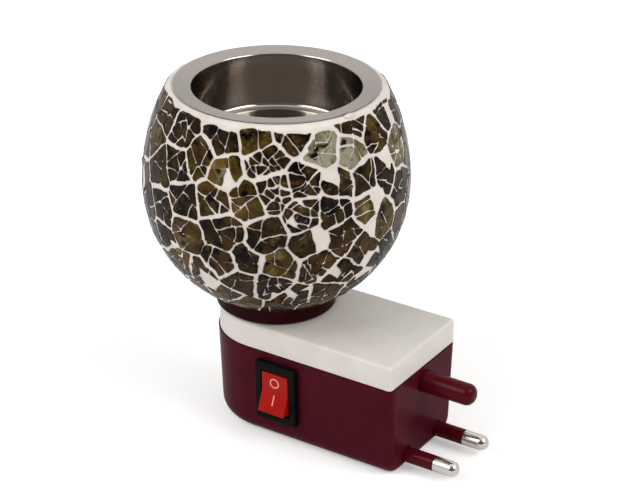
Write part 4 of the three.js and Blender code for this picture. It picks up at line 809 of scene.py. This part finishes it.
def shard_tone(chance, point):
    """How pale a shard is, from black at 0 to silvery at 1."""
    for degrees, z, reach, least, most in TONE_PLACES:
        angle = math.radians(degrees)
        radius = math.hypot(point.x, point.y)
        place = Vector((radius * math.cos(angle), radius * math.sin(angle), z))
        if (point - place).length < reach:
            return chance.uniform(least, most)
    return chance.uniform(TONE_LEAST, TONE_MOST)


def cut_sheet(point, outward, planes):
    """Adds a flat sheet on the globe and cuts away what lies beyond each plane."""
    bpy.ops.mesh.primitive_plane_add(size=SHEET_SIZE, location=point,
                                     rotation=outward.to_track_quat("Z", "Y").to_euler())
    for through, away in planes:
        bpy.ops.mesh.select_all(action="SELECT")
        bpy.ops.mesh.bisect(plane_co=through, plane_no=away, clear_outer=True, threshold=NEAR / 100)


def length_of(face):
    """The longest way along one of a face's edges from end to end of the face, and where it starts."""
    middle = face.calc_center_median()
    ways = []
    for edge in face.edges:
        along = (edge.verts[1].co - edge.verts[0].co).normalized()
        reach = [(vertex.co - middle).dot(along) for vertex in face.verts]
        ways.append((along * (max(reach) - min(reach)), middle + along * min(reach)))
    return max(ways, key=lambda way: way[0].length)


def break_up(chance, piece, outward):
    """Cracks the sheet in hand across its longest piece, again and again, until its pieces are short."""
    limit = chance.uniform(PIECE_SHORTEST, PIECE_LONGEST)
    for _ in range(CRACKS_MOST):
        shape = bmesh.from_edit_mesh(piece.data)
        faces = [face for face in shape.faces if not face.hide]
        if not faces:
            return
        longest = max(faces, key=lambda face: length_of(face)[0].length)
        way, start = length_of(longest)
        if way.length < limit:
            break
        bpy.ops.mesh.select_all(action="DESELECT")
        longest.select_set(True)
        bmesh.update_edit_mesh(piece.data)
        aside = chance.choice((1, -1)) * chance.uniform(CRACK_ASIDE_LEAST, CRACK_ASIDE_MOST)
        share = aside + CRACK_MIDDLE
        slant = Matrix.Rotation(chance.uniform(-CRACK_SLANT, CRACK_SLANT), 3, outward)
        bpy.ops.mesh.bisect(plane_co=start + way * share, plane_no=slant @ way.normalized())
    bpy.ops.mesh.select_all(action="SELECT")
    bpy.ops.mesh.inset(thickness=chance.uniform(CRACK_LEAST, CRACK_MOST) / 2, use_individual=True)
    bpy.ops.mesh.select_all(action="INVERT")
    bpy.ops.mesh.delete(type="FACE")


def put_away(piece, tone):
    """Gives the pieces in hand their tone, and hides them from the next cuts."""
    shape = bmesh.from_edit_mesh(piece.data)
    layer = shape.faces.layers.float.get("tone") or shape.faces.layers.float.new("tone")
    for face in shape.faces:
        if not face.hide:
            face[layer] = tone
    bmesh.update_edit_mesh(piece.data)
    bpy.ops.mesh.select_all(action="SELECT")
    bpy.ops.mesh.hide()


def uneven(name, size):
    """A texture of soft clouds that moves points a little."""
    clouds = bpy.data.textures.new(name, "CLOUDS")
    clouds.noise_scale = size
    clouds.noise_depth = 1
    clouds.cloud_type = "COLOR"
    return clouds


def mosaic_shards(bed):
    chance = random.Random(SCATTER_SEED)
    places = scatter(chance)
    piece = begin("mosaic_shards", bpy.ops.mesh.primitive_plane_add, size=MM)
    bpy.ops.mesh.select_all(action="SELECT")
    bpy.ops.mesh.delete(type="VERT")
    bpy.ops.mesh.select_mode(type="FACE")
    for point in places:
        outward = globe_outward(point)
        cut_sheet(point, outward, borders(chance, point, places))
        break_up(chance, piece, outward)
        put_away(piece, shard_tone(chance, point))
    bpy.ops.mesh.reveal(select=True)
    choose(piece, "FACE", lambda face: face.calc_area() < PIECE_SMALLEST or chance.random() < PIECE_LOST)
    bpy.ops.mesh.delete(type="FACE")
    bpy.ops.mesh.select_all(action="SELECT")
    bpy.ops.transform.vertex_random(offset=CORNER_SHIFT, seed=CORNER_SEED)
    bpy.ops.mesh.dissolve_degenerate(threshold=CORNER_LEAST)
    bpy.ops.mesh.select_all(action="SELECT")
    bpy.ops.mesh.bevel(offset=SHARD_CORNER, segments=1, affect="VERTICES", clamp_overlap=True)
    for _ in range(EDGE_ROUNDS):
        choose(piece, "EDGE", lambda edge: edge.calc_length() > EDGE_STEP)
        bpy.ops.mesh.subdivide(number_cuts=1)
    bpy.ops.object.mode_set(mode="OBJECT")
    for name, size, strength in (("bent_cracks", BEND_SIZE, BEND), ("chipped_edges", CHIP_SIZE, CHIP)):
        modify(piece, "DISPLACE", texture=uneven(name, size), direction="RGB_TO_XYZ", strength=strength)
    modify(piece, "SHRINKWRAP", target=bed, wrap_method="NEAREST_SURFACEPOINT", wrap_mode="ABOVE_SURFACE",
           offset=SHARD_PROUD)
    bpy.ops.object.mode_set(mode="EDIT")
    bpy.ops.mesh.select_all(action="SELECT")
    bpy.ops.mesh.face_make_planar(factor=1, repeat=2)
    bpy.ops.object.mode_set(mode="OBJECT")
    modify(piece, "SOLIDIFY", thickness=SHARD_SUNK, offset=-1)
    modify(piece, "BEVEL", width=SHARD_EDGE, segments=1, limit_method="ANGLE", angle_limit=SHARP_ANGLE)
    return hand_over(piece, "burner", SHARDS, "mosaic_glass", "mosaic_skin")


# The cup

def camphor_cup():
    flange = cup_high.x
    top = cup_high.z
    mouth = globe_profile(GLOBE_FLOOR_Z, GLOBE_TOP_Z, SKIN_THICKNESS + GLASS_THICKNESS, ARC_STEPS)[-1][0]
    wall = mouth - CUP_SIDE_GAP - CUP_SHEET
    lip_z = top - CUP_FLANGE_DISH
    floor_z = cup_low.z + CUP_SHEET

    def side(depth):
        corner = CUP_FLOOR_RADIUS + depth
        points = [(flange, top - depth)]
        points += arc(wall + CUP_LIP_RADIUS, lip_z - CUP_LIP_RADIUS, CUP_LIP_RADIUS - depth, 90, 180)
        points += arc(wall + depth - CUP_TAPER - corner, floor_z + CUP_FLOOR_RADIUS, corner, 0, -90)
        return [*points, (0, floor_z - depth)]

    piece = turn("spun_steel_cup", [*reversed(side(CUP_SHEET)), *side(0)], CUP_TURN_STEPS)
    modify(piece, "BEVEL", width=CUP_EDGE, segments=3, limit_method="ANGLE", angle_limit=SHARP_ANGLE)
    return hand_over(piece, "cup", STEEL, "polished_steel", "camphor_cup")


# The switch

def switch_body():
    out = -(SEAM + BEZEL_THICKNESS)
    piece = begin("switch_bezel_and_body", bpy.ops.mesh.primitive_cube_add, size=1)
    bpy.ops.mesh.select_all(action="SELECT")
    bpy.ops.transform.resize(value=(BEZEL_WIDTH, BEZEL_THICKNESS, BEZEL_HEIGHT))
    bpy.ops.transform.translate(value=(0, out + BEZEL_THICKNESS / 2, 0))
    choose(piece, "FACE", lambda face: face.normal.y < -FACING)
    rim = (BEZEL_WIDTH - OPENING_WIDTH) / 2
    bpy.ops.mesh.inset(thickness=rim, depth=0)
    bpy.ops.transform.resize(value=(1, 1, OPENING_HEIGHT / (BEZEL_HEIGHT - 2 * rim)))
    extrude((0, SWITCH_DEPTH, 0))
    choose(piece, "FACE", lambda face: face.normal.y > FACING
           and abs(face.calc_center_median().y + SEAM) < NEAR)
    bpy.ops.mesh.inset(thickness=BEZEL_RIM, depth=0)
    extrude((0, SWITCH_DEPTH + SEAM, 0))

    def corner(at):
        return abs(at.x) > BEZEL_WIDTH / 2 - NEAR and abs(at.z) > BEZEL_HEIGHT / 2 - NEAR

    def outer(at):
        return abs(at.x) > OPENING_WIDTH / 2 + NEAR or abs(at.z) > OPENING_HEIGHT / 2 + NEAR

    choose(piece, "EDGE", lambda edge: all_points(edge, corner)
           and abs((edge.verts[0].co - edge.verts[1].co).y) > MM)
    soften(BEZEL_CORNER, segments=5)
    choose(piece, "EDGE", lambda edge: all_points(edge, lambda at: abs(at.y - out) < NEAR and outer(at))
           and len([face for face in edge.link_faces if abs(face.normal.y) > FACING]) == 1)
    soften(BEZEL_EDGE, segments=3)
    choose(piece, "EDGE", lambda edge: all_points(edge, lambda at: abs(at.y - out) < NEAR and not outer(at)))
    soften(BEZEL_EDGE / 2, segments=2)
    end(piece)
    put(piece, switch_place())
    return hand_over(piece, "burner", BLACK, "black_plastic", "switch_body")


def rocker_marks():
    """The O and the I of a switch, printed on the upper and the lower wing."""
    inner = MARK_SIZE / 2 - MARK_STROKE
    ring = begin("mark_o", bpy.ops.mesh.primitive_circle_add, vertices=ROUND_STEPS, radius=inner)
    bpy.ops.mesh.select_all(action="SELECT")
    bpy.ops.mesh.extrude_edges_move()
    grow = MARK_SIZE / 2 / inner
    bpy.ops.transform.resize(value=(grow, grow, 1))
    bpy.ops.mesh.select_all(action="SELECT")
    extrude((0, 0, 2 * MARK_RISE))
    end(ring)
    bar = begin("mark_i", bpy.ops.mesh.primitive_cube_add, size=1)
    bpy.ops.mesh.select_all(action="SELECT")
    bpy.ops.transform.resize(value=(MARK_STROKE, MARK_SIZE, 2 * MARK_RISE))
    bpy.ops.transform.translate(value=(0, 0, MARK_RISE))
    end(bar)
    face_out = Matrix.Rotation(math.pi / 2, 4, "X")
    for mark, side, offset in ((ring, 1, MARK_UP), (bar, -1, MARK_DOWN)):
        out = ROCKER_CROWN + offset * math.tan(ROCKER_TILT) - MARK_RISE
        wing = Matrix.Translation((0, -out, side * offset)) @ Matrix.Rotation(side * ROCKER_TILT, 4, "X")
        put(mark, wing @ face_out)
        mark.data.materials.append(PRINT)
    return [ring, bar]


def switch_rocker():
    rise = ROCKER_CROWN + ROCKER_HALF_LENGTH * math.tan(ROCKER_TILT)
    wing = [(ROCKER_HALF_LENGTH, rise), (ROCKER_HALF_LENGTH - ROCKER_SKIRT_INSET, -ROCKER_SKIRT)]
    section = [(0, ROCKER_CROWN), *wing, *[(-up, out) for up, out in reversed(wing)]]
    piece = draw("rocker_button", [(-ROCKER_WIDTH / 2, -out, up) for up, out in section])
    bpy.ops.mesh.select_all(action="SELECT")
    bpy.ops.mesh.edge_face_add()
    extrude((ROCKER_WIDTH, 0, 0))
    choose(piece, "EDGE", lambda edge: all_points(edge, lambda at: abs(at.z) < NEAR))
    soften(ROCKER_VALLEY, segments=5)
    end(piece)
    modify(piece, "BEVEL", width=ROCKER_EDGE, segments=4, limit_method="ANGLE",
           angle_limit=ROCKER_SHARP_ANGLE)
    piece.data.materials.append(RED)
    marks = rocker_marks()
    alone(piece)
    for mark in marks:
        mark.select_set(True)
    bpy.ops.object.join()
    tilted = Matrix.Translation((0, -ROCKER_PIVOT_OUT, 0)) @ Matrix.Rotation(-ROCKER_TILT, 4, "X")
    put(piece, switch_place() @ tilted)
    return hand_over(piece, "rocker", RED, "red_plastic", "switch_rocker")


# The plug pins and the screws

def metal_pin(name):
    low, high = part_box(name)
    middle = pin_middle(name)
    shoulder = PLUG_X + SLEEVE_LENGTH + SEAM
    core = [(0, low.x), (PIN_CORE_RADIUS, low.x), (PIN_CORE_RADIUS, shoulder)]
    profile = [*core, (PIN_RADIUS - PIN_EDGE, shoulder), (PIN_RADIUS, shoulder + PIN_EDGE),
               *arc(0, high.x - PIN_RADIUS, PIN_RADIUS, 0, 90)]
    piece = turn_along_x(name.replace("_", "_plated_"), profile, middle.y, middle.z)
    return hand_over(piece, "burner", NICKEL, "nickel_plate", name)


def pin_sleeve(name, pin):
    low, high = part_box(name)
    middle = pin_middle(pin)
    bore = PIN_CORE_RADIUS + SEAM / 4
    soft = SLEEVE_EDGE
    rim = arc(PIN_RADIUS - soft, high.x - soft, soft, 0, 90, steps=3)
    profile = [(bore, low.x), (PIN_RADIUS, low.x), *rim, (bore, high.x), (bore, low.x)]
    piece = turn_along_x(name + "_moulding", profile, middle.y, middle.z)
    return hand_over(piece, "burner", PIN_MAROON, "maroon_plastic", name)


def earth_pin():
    low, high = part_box("earth_pin")
    middle = pin_middle("earth_pin")
    tip = arc(EARTH_RADIUS - EARTH_TIP_RADIUS, high.x - EARTH_TIP_RADIUS, EARTH_TIP_RADIUS, 0, 90, steps=12)
    profile = [(0, low.x), (EARTH_RADIUS, low.x), *tip, (0, high.x)]
    piece = turn_along_x("earth_pin_moulding", profile, middle.y, middle.z)
    return hand_over(piece, "burner", PIN_MAROON, "maroon_plastic", "earth_pin")


def housing_screws():
    """Pan-head screws with a cross recess, in the counterbores of the base."""
    low, high = screw_boxes()[0]
    radius = (high.x - low.x) / 2
    length = high.z - low.z
    soft = SCREW_HEAD_ROUND
    head = [(0, 0), *arc(radius - soft, soft, soft, -90, 0, steps=5), (radius, SCREW_HEAD)]
    profile = [*head, (SCREW_SHANK, SCREW_HEAD), (SCREW_SHANK, length - SCREW_TIP), (0, length)]
    first = turn("cross_head_screw_1", profile, SCREW_STEPS)
    for angle in (0, math.pi / 2):
        arm = (RECESS_WIDTH, RECESS_ARM, 2 * RECESS_DEPTH)
        combine(first, box_cutter(arm, Matrix.Rotation(angle, 4, "Z")))
    screws = [first]
    for number in range(2, SCREW_COUNT + 1):
        copy = first.copy()
        copy.data = first.data.copy()
        copy.name = f"cross_head_screw_{number}"
        bpy.context.collection.objects.link(copy)
        screws.append(copy)
    for number, (screw, (low, high)) in enumerate(zip(screws, screw_boxes()), start=1):
        middle = (low + high) / 2
        turned = Matrix.Rotation(SCREW_TURN * number, 4, "Z")
        put(screw, Matrix.Translation((middle.x, middle.y, low.z)) @ turned)
        hand_over(screw, "burner", ZINC, "zinc_steel", f"housing_screw_{number}")


def dress_inner_nodes():
    """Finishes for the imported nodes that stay, which are the lamp, the contacts and the wires inside."""
    finishes = {PORCELAIN_NODES: PORCELAIN, BRASS_NODES: BRASS, GLASS_NODES: GLASS, BLACK_NODES: BLACK_PVC,
                RED_NODES: RED_PVC, ZINC_NODES: ZINC, NICKEL_NODES: NICKEL}
    for names, finish in finishes.items():
        for name in names:
            for place in frame["nodes"][name].material_slots:
                place.material = finish


# The studio

def studio_camera():
    right = Vector((math.cos(CAMERA_AZIMUTH), math.sin(CAMERA_AZIMUTH), 0))
    up = CAMERA_BACK.cross(right)
    rolled_right = right * math.cos(CAMERA_ROLL) + up * math.sin(CAMERA_ROLL)
    rolled_up = up * math.cos(CAMERA_ROLL) - right * math.sin(CAMERA_ROLL)
    settings = bpy.data.cameras.new("studio_camera")
    settings.sensor_width = SENSOR
    settings.lens = FOCAL_PIXELS * SENSOR / PHOTO_WIDTH
    settings.clip_start = CAMERA_NEAREST
    camera = bpy.data.objects.new("studio_camera", settings)
    axes = Matrix((rolled_right, rolled_up, CAMERA_BACK)).transposed().to_4x4()
    camera.matrix_world = Matrix.Translation(CAMERA_TARGET + CAMERA_BACK * CAMERA_DISTANCE) @ axes
    bpy.context.scene.collection.objects.link(camera)
    bpy.context.scene.camera = camera


def studio_lamp(name, turn_from_camera):
    """An upright soft box beside the camera, which faces the object."""
    settings = bpy.data.lights.new(name, "AREA")
    settings.shape = "RECTANGLE"
    settings.size = LAMP_WIDTH
    settings.size_y = LAMP_HEIGHT
    settings.energy = LAMP_POWER
    lamp = bpy.data.objects.new(name, settings)
    angle = CAMERA_AZIMUTH + turn_from_camera
    place = Vector((LAMP_DISTANCE * math.sin(angle), -LAMP_DISTANCE * math.cos(angle), LAMP_RISE))
    toward = CAMERA_TARGET - place
    lamp.matrix_world = Matrix.Translation(place) @ toward.to_track_quat("-Z", "Y").to_matrix().to_4x4()
    bpy.context.scene.collection.objects.link(lamp)


def pale_floor():
    """A matt white sheet, which keeps the shadow and is seen as plain white further out."""
    bpy.ops.object.select_all(action="DESELECT")
    bpy.ops.mesh.primitive_plane_add(size=FLOOR_SIZE, location=(0, 0, 0))
    floor = bpy.context.active_object
    floor.name = "studio_floor"
    finish, tree, shader, where = new_finish("white_paper")
    path = node(tree, "LightPath")
    away = node(tree, "VectorMath", {0: where}, operation="LENGTH")
    glow = node(tree, "MapRange", {"Value": away.outputs["Value"], "From Min": FLOOR_SHADOW_REACH,
                                   "From Max": FLOOR_WHITE_FROM, "To Min": FLOOR_GLOW_NEAR, "To Max": 1})
    seen = node(tree, "Math", {0: path.outputs["Is Camera Ray"], 1: glow.outputs["Result"]},
                operation="MULTIPLY")
    tree.links.new(seen.outputs["Value"], shader.inputs["Emission Strength"])
    shader.inputs["Emission Color"].default_value = (1, 1, 1, 1)
    shader.inputs["Base Color"].default_value = colour("#f4f3f2")
    shader.inputs["Roughness"].default_value = 0.9
    shader.inputs["Specular IOR Level"].default_value = 0
    floor.data.materials.append(finish)


def white_world():
    """A pale room that is seen as white. Mirrors find it darker low down, and dark behind the camera."""
    world = bpy.data.worlds.new("pale_room")
    world.use_nodes = True
    tree = world.node_tree
    tree.nodes.clear()
    where = node(tree, "TexCoord").outputs["Generated"]
    height = node(tree, "SeparateXYZ", {"Vector": where}).outputs["Z"]
    walls = node(tree, "MapRange", {"Value": height, "From Min": WALL_LOW, "From Max": WALL_HIGH,
                                    "To Min": WALL_LOW_LIGHT, "To Max": 1})
    toward = node(tree, "VectorMath", {0: where, 1: CAMERA_BACK}, operation="DOT_PRODUCT")
    open_wall = node(tree, "MapRange", {"Value": toward.outputs["Value"], "From Min": DARK_FROM,
                                        "From Max": DARK_FULL, "To Min": 1, "To Max": DARK_LIGHT})
    mirrored = node(tree, "Math", {0: walls.outputs["Result"], 1: open_wall.outputs["Result"]},
                    operation="MULTIPLY")
    path = node(tree, "LightPath")
    seen = node(tree, "Math", {0: path.outputs["Is Camera Ray"], 1: path.outputs["Is Transmission Ray"]},
                operation="MAXIMUM")
    direct = node(tree, "Mix", {0: seen.outputs["Value"], 2: ROOM_LIGHT, 3: 1}, data_type="FLOAT")
    levels = {0: path.outputs["Is Glossy Ray"], 2: direct.outputs[0], 3: mirrored.outputs["Value"]}
    level = node(tree, "Mix", levels, data_type="FLOAT")
    room = node(tree, "Background", {"Color": (1, 1, 1, 1), "Strength": level.outputs[0]})
    node(tree, "OutputWorld", {"Surface": room.outputs["Background"]})
    bpy.context.scene.world = world


def main():
    lower_housing()
    top_cover()
    globe_collar()
    glass_globe()
    mosaic_shards(grout_bed())
    camphor_cup()
    switch_body()
    switch_rocker()
    metal_pin("line_pin")
    metal_pin("neutral_pin")
    pin_sleeve("line_sleeve", "line_pin")
    pin_sleeve("neutral_sleeve", "neutral_pin")
    earth_pin()
    housing_screws()
    dress_inner_nodes()
    studio_camera()
    studio_lamp("left_soft_box", -LAMP_TURN)
    studio_lamp("right_soft_box", LAMP_TURN)
    pale_floor()
    white_world()
    bpy.context.scene.view_settings.view_transform = "Standard"


main()
